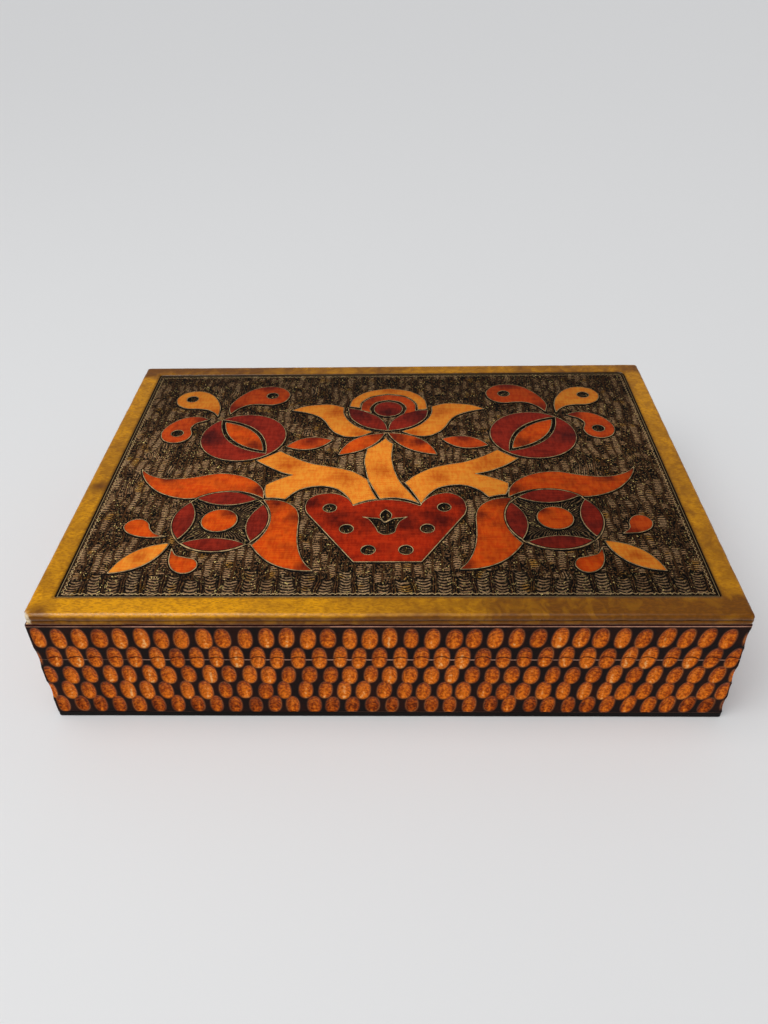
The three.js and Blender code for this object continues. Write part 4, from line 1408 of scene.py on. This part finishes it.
    def tile(self, column: int, row: int) -> Surface:
        """One block of the field, from the underside up to the carved top.

        Args:
            column, row: which block it is.

        Returns:
            A closed surface: the top's grid, a skirt of one quad all round, and a fan underneath.
        """
        low, high = self.field_low - self.tuck, self.field_high + self.tuck
        lines = []
        for axis, index in enumerate((column, row)):
            ends = np.linspace(low[axis], high[axis], self.tiles[axis] + 1)[index:index + 2]
            lines.append(np.linspace(*ends, math.ceil((ends[1] - ends[0]) / self.field_step[axis]) + 1))
        y, x = np.meshgrid(lines[1], lines[0], indexing="ij")
        z, fields = self.relief(x.ravel(), y.ravel())
        top = np.column_stack([x.ravel(), y.ravel(), z])
        quads = grid_quads(*x.shape)[:, ::-1]
        number = np.arange(x.size).reshape(x.shape)
        rim = np.concatenate([number[0, :-1], number[:-1, -1], number[-1, :0:-1], number[:0:-1, 0]])
        foot = top[rim].copy()
        foot[:, 2] = self.floor
        lower = len(top) + np.arange(len(rim))
        skirt = np.stack([rim, lower, np.roll(lower, -1), np.roll(rim, -1)], axis=1)
        middle = np.array([[x.mean(), y.mean(), self.floor]])
        fan = np.stack([np.full(len(rim), len(top) + len(rim)), np.roll(lower, -1), lower], axis=1)
        on_skirt = np.arange(len(quads) + len(skirt)) >= len(quads)
        for label, values in fields.items():
            fields[label] = np.concatenate([values, np.zeros((len(rim) + 1, *values.shape[1:]))])
        return Surface(
            np.vstack([top, foot, middle]), np.vstack([quads, skirt]), fan,
            quad_finish=on_skirt.astype(int), triangle_finish=1, quad_smooth=~on_skirt, fields=fields,
        )

    def relief(self, x: np.ndarray, y: np.ndarray) -> tuple[np.ndarray, dict[str, np.ndarray]]:
        """The field's height and its colour fields.

        Args:
            x, y: places as flat arrays.

        Returns:
            The height, and the edge, stain, scribe, stack, mask, lane, inset, stitch, dash, grit and shade
            fields.
        """
        fields = self.pot.measure(x, y)
        edge = fields["edge"]
        stack, mask, lane, dash, grit = self.ripples(x, y, fields["scribe"])
        inset, along = self.inset(x, y)
        deep_in = 1.0 - self.calm_in_holes * smooth_step(0.0, 0.4, fields.pop("hollow"))
        calm = smooth_step(*self.calm_at_frame, inset) * smooth_step(*self.calm_at_shapes, edge)
        mask = mask * calm * deep_in
        raised = smooth_step(*self.shape_slope, edge)
        groove = (self.line_drop - self.ground_drop) * bell(edge - self.line_place[0], self.line_place[1])
        cut = self.cut_depth * bell(edge - self.cut_place[0], self.cut_place[1])
        ripple = (0.5 + 0.5 * np.cos(2 * np.pi * stack)) * mask
        ground = self.top - self.ground_drop + self.ripple_height * ripple
        z = ground * (1 - raised) + self.top * raised - groove - cut
        wave = np.abs((along / self.stitch_period) % 1.0 - 0.5) * 4.0 - 1.0
        stitch = np.clip(inset - self.stitch_inset - self.stitch_swing * wave, -1.0, 1.0)
        fields |= {
            "stack": stack, "mask": mask, "lane": lane, "inset": np.clip(inset, -1.0, 4.0), "stitch": stitch,
            "dash": dash, "grit": grit * deep_in, "shade": self.lightness(x, y),
        }
        return z, fields

    def inset(self, x: np.ndarray, y: np.ndarray) -> tuple[np.ndarray, np.ndarray]:
        """How far inside the field's edge each place lies, and how far along that edge.

        Args:
            x, y: places as flat arrays.

        Returns:
            The inset, which rounds the back right corner, and the place along the nearest side.
        """
        gap_x = np.minimum(x - self.field_low[0], self.field_high[0] - x)
        gap_y = np.minimum(y - self.field_low[1], self.field_high[1] - y)
        corner = self.field_corners[0]
        near = (x > 0) & (y > 0) & (gap_x < corner) & (gap_y < corner)
        inset = np.where(near, corner - np.hypot(corner - gap_x, corner - gap_y), np.minimum(gap_x, gap_y))
        return inset, np.where(gap_x < gap_y, y, x)

    def ripples(self, x: np.ndarray, y: np.ndarray, wheel: np.ndarray) -> tuple[np.ndarray, ...]:
        """The burnt ground: columns of stacked arcs, streaks, ladders near the front, spokes in the wheels.

        Args:
            x, y: places as flat arrays.
            wheel: positive inside a wheel's rim.

        Returns:
            The ridges' phase in turns, their strength, the distance from the lane between two columns, which
            is -1 inside the wheels, how grey each stretch is, and the share of loose grit.
        """
        bent_x = x + 2.2 * wobble(x, y, (9.0, 8.0), 1.0) + 0.9 * wobble(x, y, (3.1, 4.3), 12.0)
        bent_y = y + 1.6 * wobble(x, y, (7.0, 6.0), 2.0) + 0.5 * wobble(x, y, (1.9, 2.3), 13.0)
        fine = soft_noise(x / 1.1, y / 1.3, 10.0)
        column = np.floor(bent_x / self.column_width)
        across = bent_x / self.column_width - column - 0.5
        lift = lattice_value(column, 0.0, 4.0)
        lane = (0.5 - np.abs(across)) * self.column_width
        arcs = (bent_y + (2.2 * lift - 0.3) * self.arc_bend * across**2) / self.ripple_pitch + lift
        dash = soft_noise(column * 3.7, bent_y / 4.5 + 9.0 * lift, 17.0)
        even = 0.4 + 1.0 * smooth_step(0.3, 0.7, dash) - 0.35 * fine
        strength = smooth_step(0.15, 1.15, lane) * even * (0.8 - 0.2 * smooth_step(10.0, 80.0, y))
        streaky = soft_noise(x / 8.0, y / 10.0, 9.0) - self.streaks_above
        strength = np.where(streaky > 0, 0.5 * even, strength) * smooth_step(0.0, 0.03, np.abs(streaky))
        streaks = bent_x / self.streak_pitch + 0.5 * soft_noise(x, y / 3.0, 15.0)
        phase = np.where(streaky > 0, streaks, arcs)
        grit = 0.35 + 0.65 * smooth_step(0.2, 0.9, lane)

        ladder = np.round(bent_x / (2 * self.column_width))
        aside = np.abs(bent_x - 2 * self.column_width * ladder)
        rise = lattice_value(ladder, 0.0, 20.0)
        height = self.ladder_top + self.ladder_top_swing * (soft_noise(ladder * 2.3, 0.0, 19.0) - 0.5)
        at_front, on_ladder, half = y < height, aside < self.ladder_half_width, self.ladder_half_width
        rungs = (bent_y - self.rung_bend * aside**2) / self.ladder_pitch + rise
        rung_strength = smooth_step(half, half - 0.6, aside) * (0.8 - 0.45 * fine)
        stroke_strength = 0.35 * smooth_step(half, half + 0.4, aside)
        front = np.where(on_ladder, rung_strength, stroke_strength) * smooth_step(0.0, 1.0, height - y)
        strength = np.where(at_front, front, strength * smooth_step(0.0, 0.8, y - height))
        phase = np.where(at_front, np.where(on_ladder, rungs, bent_x / self.stroke_pitch), phase)
        dash = np.where(at_front, np.where(on_ladder, 0.55 + 0.45 * rise, 0.1), dash)
        grit = np.where(at_front, 0.45, grit)

        centre_x, centre_y = self.pot.wheel_centre
        turn = np.arctan2(y - centre_y, np.abs(x) + centre_x)
        spokes = turn * self.spokes + 1.2 * wobble(x, y, (2.5, 2.5), 18.0)
        inside = wheel > 0
        strength = np.where(inside, 0.2 + 0.45 * fine, strength) * smooth_step(0.0, 0.4, np.abs(wheel))
        lane = np.where(inside, -1.0, np.where(at_front, 2.0, lane))
        phase, dash = np.where(inside, spokes, phase), np.where(inside, 0.7, dash)
        return phase, np.clip(strength, 0.0, 1.2), lane, dash, grit


# The carved walls


@dataclass(frozen=True)
class ScoopRow:
    """A row of gouge scoops: its height on the wall, where it starts, and one scoop's size."""

    centre: float
    start: float
    height: float
    width: float


@dataclass
class CarvedWalls:
    """The eight mitred walls, as one carved skin round the box that is parted at the mitres and the seam."""

    sides: tuple[str, ...] = ("front", "right", "back", "left")
    corner_round: float = 0.8
    corner_steps: int = 7
    thickness: float = 9.0
    station_step: float = 0.45
    row_step: float = 0.45
    arris_steps: tuple[float, ...] = (0.0, 0.05, 0.13, 0.25, 0.4, 0.6, 0.75, 0.9)
    seam_arris: float = 0.3
    top_arris: float = 0.55
    foot_arris: float = 0.4
    scoop_depth: float = 1.15
    scoop_pitch: float = 8.13
    rows: tuple[ScoopRow, ...] = (
        ScoopRow(47.0, 3.3, 11.1, 6.2),
        ScoopRow(36.1, -0.9, 12.0, 6.1),
        ScoopRow(26.1, 2.8, 10.4, 6.1),
        ScoopRow(16.6, 0.2, 10.9, 6.0),
        ScoopRow(7.9, 3.1, 10.3, 5.8),
    )
    oval_power: float = 2.3
    chance_seeds: tuple[float, ...] = (21.0, 22.0, 23.0, 24.0, 25.0)
    place_chance: float = 0.9
    width_chance: float = 0.14
    height_chance: float = 0.12
    depth_chance: float = 0.3
    lean_chance: float = 0.09
    egg_taper: float = 0.05
    rim_reach: float = 3.0
    corner_easing: Point = (0.45, 2.6)
    corner_edge: float = 0.9
    corner_rim: float = 1.4
    bevel_angle: float = math.radians(52.0)
    hinge_room: float = 0.05
    pocket_room: float = 0.15
    leaf_thickness: float = 0.95

    def __post_init__(self) -> None:
        """Takes the walls' sizes and places from their solids."""
        low, high = (np.array(corner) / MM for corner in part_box("base_panel"))
        self.half = (high - low)[:2] / 2
        base_low, base_high = (np.array(corner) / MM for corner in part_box("base_front_wall"))
        lid_high = np.array(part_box("lid_front_rail")[1]) / MM
        self.foot, self.seam, self.top = float(base_low[2]), float(base_high[2]), float(lid_high[2])
        axis = next(joint for joint in frame["joints"] if joint["name"] == "lid_hinge")["pos_m"]
        self.hinge_y = axis[1] / MM
        corner_length = self.corner_round * math.pi / 2
        lengths = [2 * self.half[turn % 2] - 2 * self.corner_round + corner_length for turn in range(4)]
        self.starts = np.concatenate([[0.0], np.cumsum(lengths)[:-1]])
        self.girth = float(sum(lengths))
        self.per_row = round(self.girth / self.scoop_pitch)

    def build(self, carved: Material, plains: tuple[Material, Material]) -> list[Piece]:
        """Makes the eight walls.

        Args:
            carved: the outer skin's material.
            plains: bare wood with its grain along X, and along Y.

        Returns:
            The pieces.
        """
        pieces = []
        layers = (("base", "wall", self.foot, self.seam), ("lid", "rail", self.seam, self.top))
        for turn, side in enumerate(self.sides):
            for body, part, low, high in layers:
                node = f"{body}_{side}_{part}"
                piece = self.wall(turn, low, high).to_object(f"carved_{node}", [carved, plains[turn % 2]])
                if side == "back":
                    self.cut_pockets(piece, body)
                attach(piece, body)
                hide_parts(node)
                pieces.append(piece)
        return pieces

    def path(self, turn: int) -> tuple[np.ndarray, ...]:
        """One side's way from mitre to mitre, with half of a rounded corner at each end, turned to the front.

        Args:
            turn: the side's number, counted anticlockwise from the front.

        Returns:
            Each station's place, the angle that the skin faces there, and the distance round the box.
        """
        radius, reach = self.corner_round, self.half[1 - turn % 2]
        flat = self.half[turn % 2] - radius
        straight = np.linspace(-flat, flat, round(2 * flat / self.station_step) + 1)[1:-1]
        arc = np.linspace(5 / 4 * np.pi, 3 / 2 * np.pi, self.corner_steps)
        facing = np.concatenate([arc, np.full(len(straight), 3 / 2 * np.pi), arc + np.pi / 4])
        centre = np.concatenate([np.full(len(arc), -flat), straight, np.full(len(arc), flat)])
        place = np.stack([centre + radius * np.cos(facing), radius - reach + radius * np.sin(facing)], axis=1)
        return place, facing, self.starts[turn] + centre + flat + radius * (facing - arc[0])

    def wall(self, turn: int, low: float, high: float) -> Surface:
        """One wall: a section carried from mitre to mitre.

        Args:
            turn: the side's number, counted anticlockwise from the front.
            low, high: the wall's lower and upper edge.

        Returns:
            A closed surface. Its outer face is the side's path moved inwards by the carving, and its inner
            face is flat. Behind the hinge axis it stops at the two slopes on which the lid turns back.
        """
        place, facing, travel = self.path(turn)
        heights = self.height_steps(low, high)
        s, z = np.meshgrid(travel, heights, indexing="ij")
        depth, rim, tone = self.scoops(s, z)
        normal = np.stack([np.cos(facing), np.sin(facing)], axis=1)
        skin = place[:, None, :] - (depth + self.arris(z, low, high))[..., None] * normal[:, None, :]
        length = self.half[turn % 2]
        inner = place * np.array([(length - self.thickness) / length, 0.0])
        inner[:, 1] = self.thickness - self.half[1 - turn % 2]
        inner[0, 0], inner[-1, 0] = self.thickness - length, length - self.thickness
        across = np.concatenate([skin, np.repeat(inner[:, None, :], 2, axis=1)], axis=1)
        up = np.concatenate([z, np.tile([high, low], (len(z), 1))], axis=1)
        x, y = np.moveaxis(quarter_turns(across, turn), -1, 0)
        behind = self.hinge_y - self.hinge_room + np.abs(up - self.seam) / math.tan(self.bevel_angle)
        points = np.stack([x, np.minimum(y, behind), up], axis=-1)
        stations, section = points.shape[:2]
        outer = np.tile(np.arange(section) < len(heights) - 1, stations - 1)
        numbers, pivot = np.arange(section), section - 2
        ring = numbers[(numbers != pivot) & (numbers != pivot - 1)]
        near_cap = np.stack([np.full(len(ring), pivot), (ring + 1) % section, ring], axis=1)
        far_cap = near_cap[:, ::-1] + (stations - 1) * section
        # tone carries painted shade and highlights; worn carries wear, painted highlights and painted shadow.
        fields = {"rim": rim, "tone": tone, "worn": self.wear_and_painted_light(s, z, low, high, rim)}
        for label, values in fields.items():
            plain = 0.0 if label == "worn" else -self.rim_reach
            fields[label] = np.pad(values, ((0, 0), (0, 2)), constant_values=plain).ravel()
        return Surface(
            points.reshape(-1, 3), grid_quads(stations, section, wrap=True), np.vstack([near_cap, far_cap]),
            quad_finish=(~outer).astype(int), triangle_finish=1, quad_smooth=outer, fields=fields,
        )

    def height_steps(self, low: float, high: float) -> np.ndarray:
        """Heights of the skin's rows, closer together at the two rounded arrises.

        Args:
            low, high: the heights of the wall's two edges.

        Returns:
            The rows' heights.
        """
        close = np.array(self.arris_steps)
        rows = round((high - low - 2 * close[-1]) / self.row_step) + 1
        middle = np.linspace(low + close[-1], high - close[-1], rows)
        return np.concatenate([low + close[:-1], middle, high - close[-2::-1]])

    def arris(self, z: np.ndarray, low: float, high: float) -> np.ndarray:
        """How far the rounded edges draw the skin in: r - sqrt(r^2 - (r - d)^2) at d from the edge.

        Args:
            z: the points' heights.
            low, high: the heights of the wall's two edges.

        Returns:
            The depth at each point.
        """
        total = np.zeros_like(z)
        for edge, radius in ((low, self.edge_radius(low)), (high, self.edge_radius(high))):
            short = np.clip(radius - np.abs(z - edge), 0.0, radius)
            total += radius - np.sqrt(radius**2 - short**2)
        return total

    def edge_radius(self, edge: float) -> float:
        """The arris radius of a wall's edge."""
        return {self.foot: self.foot_arris, self.seam: self.seam_arris, self.top: self.top_arris}[edge]

    def scoops(self, s: np.ndarray, z: np.ndarray) -> tuple[np.ndarray, np.ndarray, np.ndarray]:
        """The gouge cuts: each is the hollow depth (1 - r^2) of a leaning oval, and the deepest one counts.

        Args:
            s: the distance round the box.
            z: the height.

        Returns:
            The depth, which is eased at the box's corners, the signed distance to the nearest scoop's rim,
            and that scoop's tone with its painted shade and painted highlights.
        """
        depth = np.zeros_like(s)
        rim = np.full_like(s, -self.rim_reach)
        tone = np.zeros_like(s)
        pitch = self.girth / self.per_row
        for order, row in enumerate(self.rows):
            nearest = np.round((s - row.start) / pitch)
            for count in (nearest - 1, nearest, nearest + 1):
                own = count % self.per_row
                chance = [lattice_value(own, order + 1.0, seed) - 0.5 for seed in self.chance_seeds]
                middle = row.start + count * pitch + self.place_chance * chance[0]
                half_height = row.height / 2 * (1 + self.height_chance * chance[3])
                up = (z - row.centre - self.place_chance * chance[1]) / half_height
                lean = np.tan(self.lean_chance * chance[4] + self.face_lean(middle % self.girth))
                half_width = row.width / 2 * (1 + self.width_chance * chance[2])
                egg = half_width * (1 - self.egg_taper * np.clip(up, -1.0, 1.0))
                across = (s - middle - lean * (z - row.centre)) / egg
                radius, distance = self.oval(across, up, egg, half_height)
                closer = distance > rim
                rim = np.where(closer, distance, rim)
                tone = np.where(closer, self.scoop_tone_and_painted_light(z, across, up, chance), tone)
                deepest = self.scoop_depth * (1 + self.depth_chance * chance[2])
                depth = np.maximum(depth, deepest * np.clip(1 - radius**2, 0.0, 1.0))
        half_girth = self.girth / 2
        to_corner = np.abs((s[..., None] - self.starts + half_girth) % self.girth - half_girth).min(axis=-1)
        share, reach = self.corner_easing
        rim = rim - self.corner_rim * bell(to_corner, self.corner_edge)
        return depth * (1 - share * bell(to_corner, reach)), rim, tone

    def face_lean(self, along: np.ndarray) -> np.ndarray:
        """How the front's scoops lean over more and more to the right. Those of the other sides stand."""
        lean = 0.07 * smooth_step(30.0, 120.0, along) + 0.1 * smooth_step(200.0, 280.0, along)
        return lean * (along < self.starts[1])

    def oval(
        self, across: np.ndarray, up: np.ndarray, half_width: np.ndarray, half_height: np.ndarray,
    ) -> tuple[np.ndarray, np.ndarray]:
        """Measures places against an oval, r^p = |across|^p + |up|^p.

        Args:
            across, up: the places, as shares of the oval's half width and half height.
            half_width, half_height: the oval's size.

        Returns:
            r, and the signed distance to the rim, (1 - r) over the slope of r, which is positive inside.
        """
        power = self.oval_power
        side, rise = np.abs(across), np.abs(up)
        radius = np.maximum(side**power + rise**power, 1e-9) ** (1 / power)
        slope = np.hypot(side ** (power - 1) / half_width, rise ** (power - 1) / half_height)
        slope = slope * radius ** (1 - power)
        distance = np.clip((1 - radius) / np.maximum(slope, 1e-6), -self.rim_reach, self.rim_reach)
        return radius, distance

    @staticmethod
    def scoop_tone_and_painted_light(z: np.ndarray, across: np.ndarray, up: np.ndarray, chance: list[np.ndarray]) -> np.ndarray:
        """How light a scoop is, with painted light: painted shade at its top and near the box's foot, a
        painted highlight streak down its middle and a small painted gleam low down, over the scoop's own
        tone.

        Args:
            z: the height on the box.
            across, up: the places, as shares of the scoop's half width and half height.
            chance: the scoop's own numbers, from -0.5 to 0.5.

        Returns:
            The tone, from about -1 in deep painted shade to 1.5 in a painted gleam.
        """
        # A painted highlight down the scoop's middle.
        streak = 0.4 * bell(across, 0.3)
        # A small painted glint low in some scoops.
        gleam = 0.5 * bell(across - 0.6 * chance[2], 0.14) * smooth_step(0.2, -0.4, up) * (chance[1] > 0.2)
        # Painted light from above: a little lighter at the scoop's bottom, painted shade at its top.
        ends = 0.25 * smooth_step(-0.3, -0.9, up) - 0.75 * smooth_step(0.25, 0.95, up)
        # Painted shade near the foot, over each scoop's own random tone.
        return 0.4 - 0.6 * smooth_step(14.0, 3.0, z) + 0.6 * chance[3] + ends + streak + gleam

    def wear_and_painted_light(self, s: np.ndarray, z: np.ndarray, low: float, high: float, rim: np.ndarray) -> np.ndarray:
        """Wear on a wall's edges, with painted light: above 0 where wood shows bare or a painted highlight
        lies, below 0 where painted shadow is black.

        Args:
            s, z: places on the skin.
            low, high: the wall's lower and upper edge.
            rim: the signed distance to the nearest scoop's rim.

        Returns:
            Bare wood along the seam's lower edge, a pale line under the lid board that is partly worn wood
            and partly a painted highlight on the arris, and a painted glint at the foot, in broken stretches;
            with black painted shadow above the pale line and in the scoops above the seam.
        """
        broken = smooth_step(0.25, 0.6, soft_noise(s / 16.0, 0.0, 31.0))
        ragged = 0.7 + 0.3 * soft_noise(s / 0.8, z / 0.4, 32.0)
        worn = np.zeros_like(z)
        if high == self.seam:
            along_front = np.maximum(0.3 + 0.4 * broken, bell(s - self.half[0], 90.0))
            between = 0.12 + 0.88 * smooth_step(0.5, -0.3, rim)
            worn += smooth_step(0.4, 0.14, high - z) * along_front * between
            # A painted glint at the foot.
            worn += 0.4 * bell(z - low - 0.25, 0.15) * broken
        if low == self.seam:
            # Painted shadow along the lid rails' lower edge, above the seam, more of it in the scoops.
            worn -= smooth_step(1.0, 0.5, z - low) * (0.35 + 0.65 * smooth_step(0.0, 0.5, rim))
        if high == self.top:
            # A pale line under the lid board: partly worn wood, partly a painted highlight on the arris.
            worn += bell(high - z - 0.8, 0.24) * (0.5 + 0.4 * broken)
            # Painted shadow just under the lid board.
            worn -= smooth_step(0.62, 0.4, high - z)
        return np.clip(worn * ragged, -1.0, 1.0)

    def cut_pockets(self, piece: Piece, body: str) -> None:
        """Cuts the hinges' pockets out of a back wall, with the room that the solids leave.

        Args:
            piece: the carved back wall.
            body: the body that the wall rides on.
        """
        away, room = 1 if body == "lid" else -1, self.pocket_room
        past = self.seam - away
        for side in ("left", "right"):
            leaf_low, leaf_high = (np.array(corner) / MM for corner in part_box(f"{side}_hinge_{body}_leaf"))
            radius = float(leaf_high[1]) - self.hinge_y
            blocks = (
                (leaf_low[1] - room, self.hinge_y, self.seam + away * (self.leaf_thickness + room)),
                (self.hinge_y - radius - room, self.half[1] + 1.0, self.seam + away * (radius + room)),
            )
            for front, back, end in blocks:
                near_corner = (leaf_low[0] - room, front, min(past, end))
                cutter = self.block(near_corner, (leaf_high[0] + room, back, max(past, end)))
                cut = piece.modifiers.new("pocket", "BOOLEAN")
                cut.operation, cut.object, cut.solver = "DIFFERENCE", cutter, "EXACT"
                with bpy.context.temp_override(object=piece, active_object=piece, selected_objects=[piece]):
                    bpy.ops.object.modifier_apply(modifier=cut.name)
                bpy.data.objects.remove(cutter)

    @staticmethod
    def block(low: Place, high: Place) -> Piece:
        """A plain block to cut with.

        Args:
            low, high: two opposite corners.

        Returns:
            The block's object.
        """
        x, y, z = (np.array(pair) for pair in zip(low, high))
        points = np.array([[x[i], y[j], z[k]] for i in (0, 1) for j in (0, 1) for k in (0, 1)])
        quads = np.array([[0, 1, 3, 2], [4, 6, 7, 5], [0, 4, 5, 1], [2, 3, 7, 6], [0, 2, 6, 4], [1, 5, 7, 3]])
        return Surface(points, quads).to_object("cutter", [])


# Solids that only get a finish


@dataclass(frozen=True)
class DressedSolids:
    """The base panel and the hinges: solids whose shape is right and that only need a finish."""

    panel: str = "base_panel"

    def dress(self, ply: Material, brass: Material) -> None:
        """Puts the finishes on.

        Args:
            ply: the base panel's material.
            brass: the hinges' material.
        """
        for name, node in frame["nodes"].items():
            if name == self.panel or "_hinge_" in name:
                finish = ply if name == self.panel else brass
                node.data.materials.clear()
                node.data.materials.append(finish)
                LOG.info("%s: %s", name, finish.name)


# Floor, light and camera


@dataclass(frozen=True)
class Studio:
    """A pale floor, soft light from the front left, a bright card over the left, and the photo's camera."""

    floor_half: float = 6.0
    floor_colour: Colour = (0.79, 0.79, 0.785)
    sky: Colour = (0.93, 0.95, 1.0)
    sky_strength: float = 0.33
    aim: Place = (0.0, 0.0, 0.03)
    key_from: Place = (-0.25, -0.3, 1.0)
    key_strength: float = 1.75
    key_angle: float = math.radians(65)
    fill_place: Place = (-0.55, -0.36, 0.8)
    fill_size: float = 0.6
    fill_power: float = 1.5
    card_place: Place = (-0.45, -0.05, 1.2)
    card_size: Point = (0.9, 0.45)
    card_power: float = 9.0
    camera_place: Place = (0.007985, -0.32797, 0.28328)
    pitch_down: float = 0.65461
    yaw: float = -0.03174
    roll: float = -0.02313
    focal_pixels: float = 832.9
    picture_height: int = 1024
    sensor: float = 36.0
    nearest: float = 0.01

    def build(self) -> None:
        """Makes the floor, the surroundings, the lights and the camera."""
        self.floor()
        self.world()
        self.light("key_light", "SUN", self.key_from, energy=self.key_strength, angle=self.key_angle)
        self.light("fill_light", "AREA", self.fill_place, energy=self.fill_power, size=self.fill_size)
        width, depth = self.card_size
        sizes = {"shape": "RECTANGLE", "size": width, "size_y": depth}
        card = self.light("bright_card", "AREA", self.card_place, energy=self.card_power, **sizes)
        card.visible_diffuse = False
        self.camera()

    def floor(self) -> None:
        """Makes a wide plain floor."""
        sheet = NodeSheet("pale_floor")
        sheet.bump(sheet.noise(sheet.scaled(3, 3, 3), detail=2.0), 0.02, 0.01)
        material = sheet.finish(self.floor_colour, 0.6, Specular_IOR_Level=0.2)
        corners = np.array([[-1.0, -1.0, 0.0], [1.0, -1.0, 0.0], [1.0, 1.0, 0.0], [-1.0, 1.0, 0.0]])
        points = corners * self.floor_half / MM
        Surface(points, np.array([[0, 1, 2, 3]])).to_object("floor", [material])

    def world(self) -> None:
        """Sets an even, pale surrounding light."""
        world = bpy.data.worlds.new("studio")
        world.use_nodes = True
        background = world.node_tree.nodes["Background"]
        background.inputs["Color"].default_value = (*self.sky, 1.0)
        background.inputs["Strength"].default_value = self.sky_strength
        bpy.context.scene.world = world

    def light(self, name: str, kind: str, place: Place, **settings: object) -> Piece:
        """Hangs a light.

        Args:
            name: the light's name.
            kind: its type.
            place: where it hangs, in metres; it looks at the box from there.
            **settings: its strength and size.

        Returns:
            The lamp.
        """
        light = bpy.data.lights.new(name, kind)
        for label, value in settings.items():
            setattr(light, label, value)
        lamp = bpy.data.objects.new(name, light)
        lamp.location = place
        lamp.rotation_euler = (Vector(self.aim) - Vector(place)).to_track_quat("-Z", "Y").to_euler()
        bpy.context.scene.collection.objects.link(lamp)
        return lamp

    def camera(self) -> None:
        """Sets the camera by the fitted place, pitch, yaw, roll and focal length."""
        cos, sin = math.cos(self.pitch_down), math.sin(self.pitch_down)
        ahead = Vector((math.sin(self.yaw) * cos, math.cos(self.yaw) * cos, -sin))
        right = Vector((math.cos(self.yaw), -math.sin(self.yaw), 0.0))
        up = right.cross(ahead)
        rolled_right = right * math.cos(self.roll) + up * math.sin(self.roll)
        rolled_up = up * math.cos(self.roll) - right * math.sin(self.roll)
        lens_data = bpy.data.cameras.new("camera")
        lens_data.sensor_width = self.sensor
        lens_data.lens = self.focal_pixels / self.picture_height * self.sensor
        lens_data.clip_start = self.nearest
        camera = bpy.data.objects.new("camera", lens_data)
        turn = Matrix((rolled_right, rolled_up, -ahead)).transposed()
        camera.matrix_world = Matrix.Translation(self.camera_place) @ turn.to_4x4()
        bpy.context.scene.collection.objects.link(camera)
        bpy.context.scene.camera = camera


def main() -> None:
    """Builds the box's looks in order and reports each piece."""
    bpy.context.scene.view_settings.view_transform = "Standard"
    Studio().build()
    plain_x = PlainWood().make()
    plain_y = PlainWood("plain_wood_across", (420.0, 14.0, 420.0)).make()
    pieces = LidBoard().build(LidPaint().make(), BorderPaint().make(), plain_x)
    pieces += CarvedWalls().build(CarvedStain().make(), (plain_x, plain_y))
    DressedSolids().dress(BasePly().make(), AgedBrass().make())
    for piece in pieces:
        LOG.info("%s: %d faces", piece.name, len(piece.data.polygons))


if __name__ == "__main__":
    main()
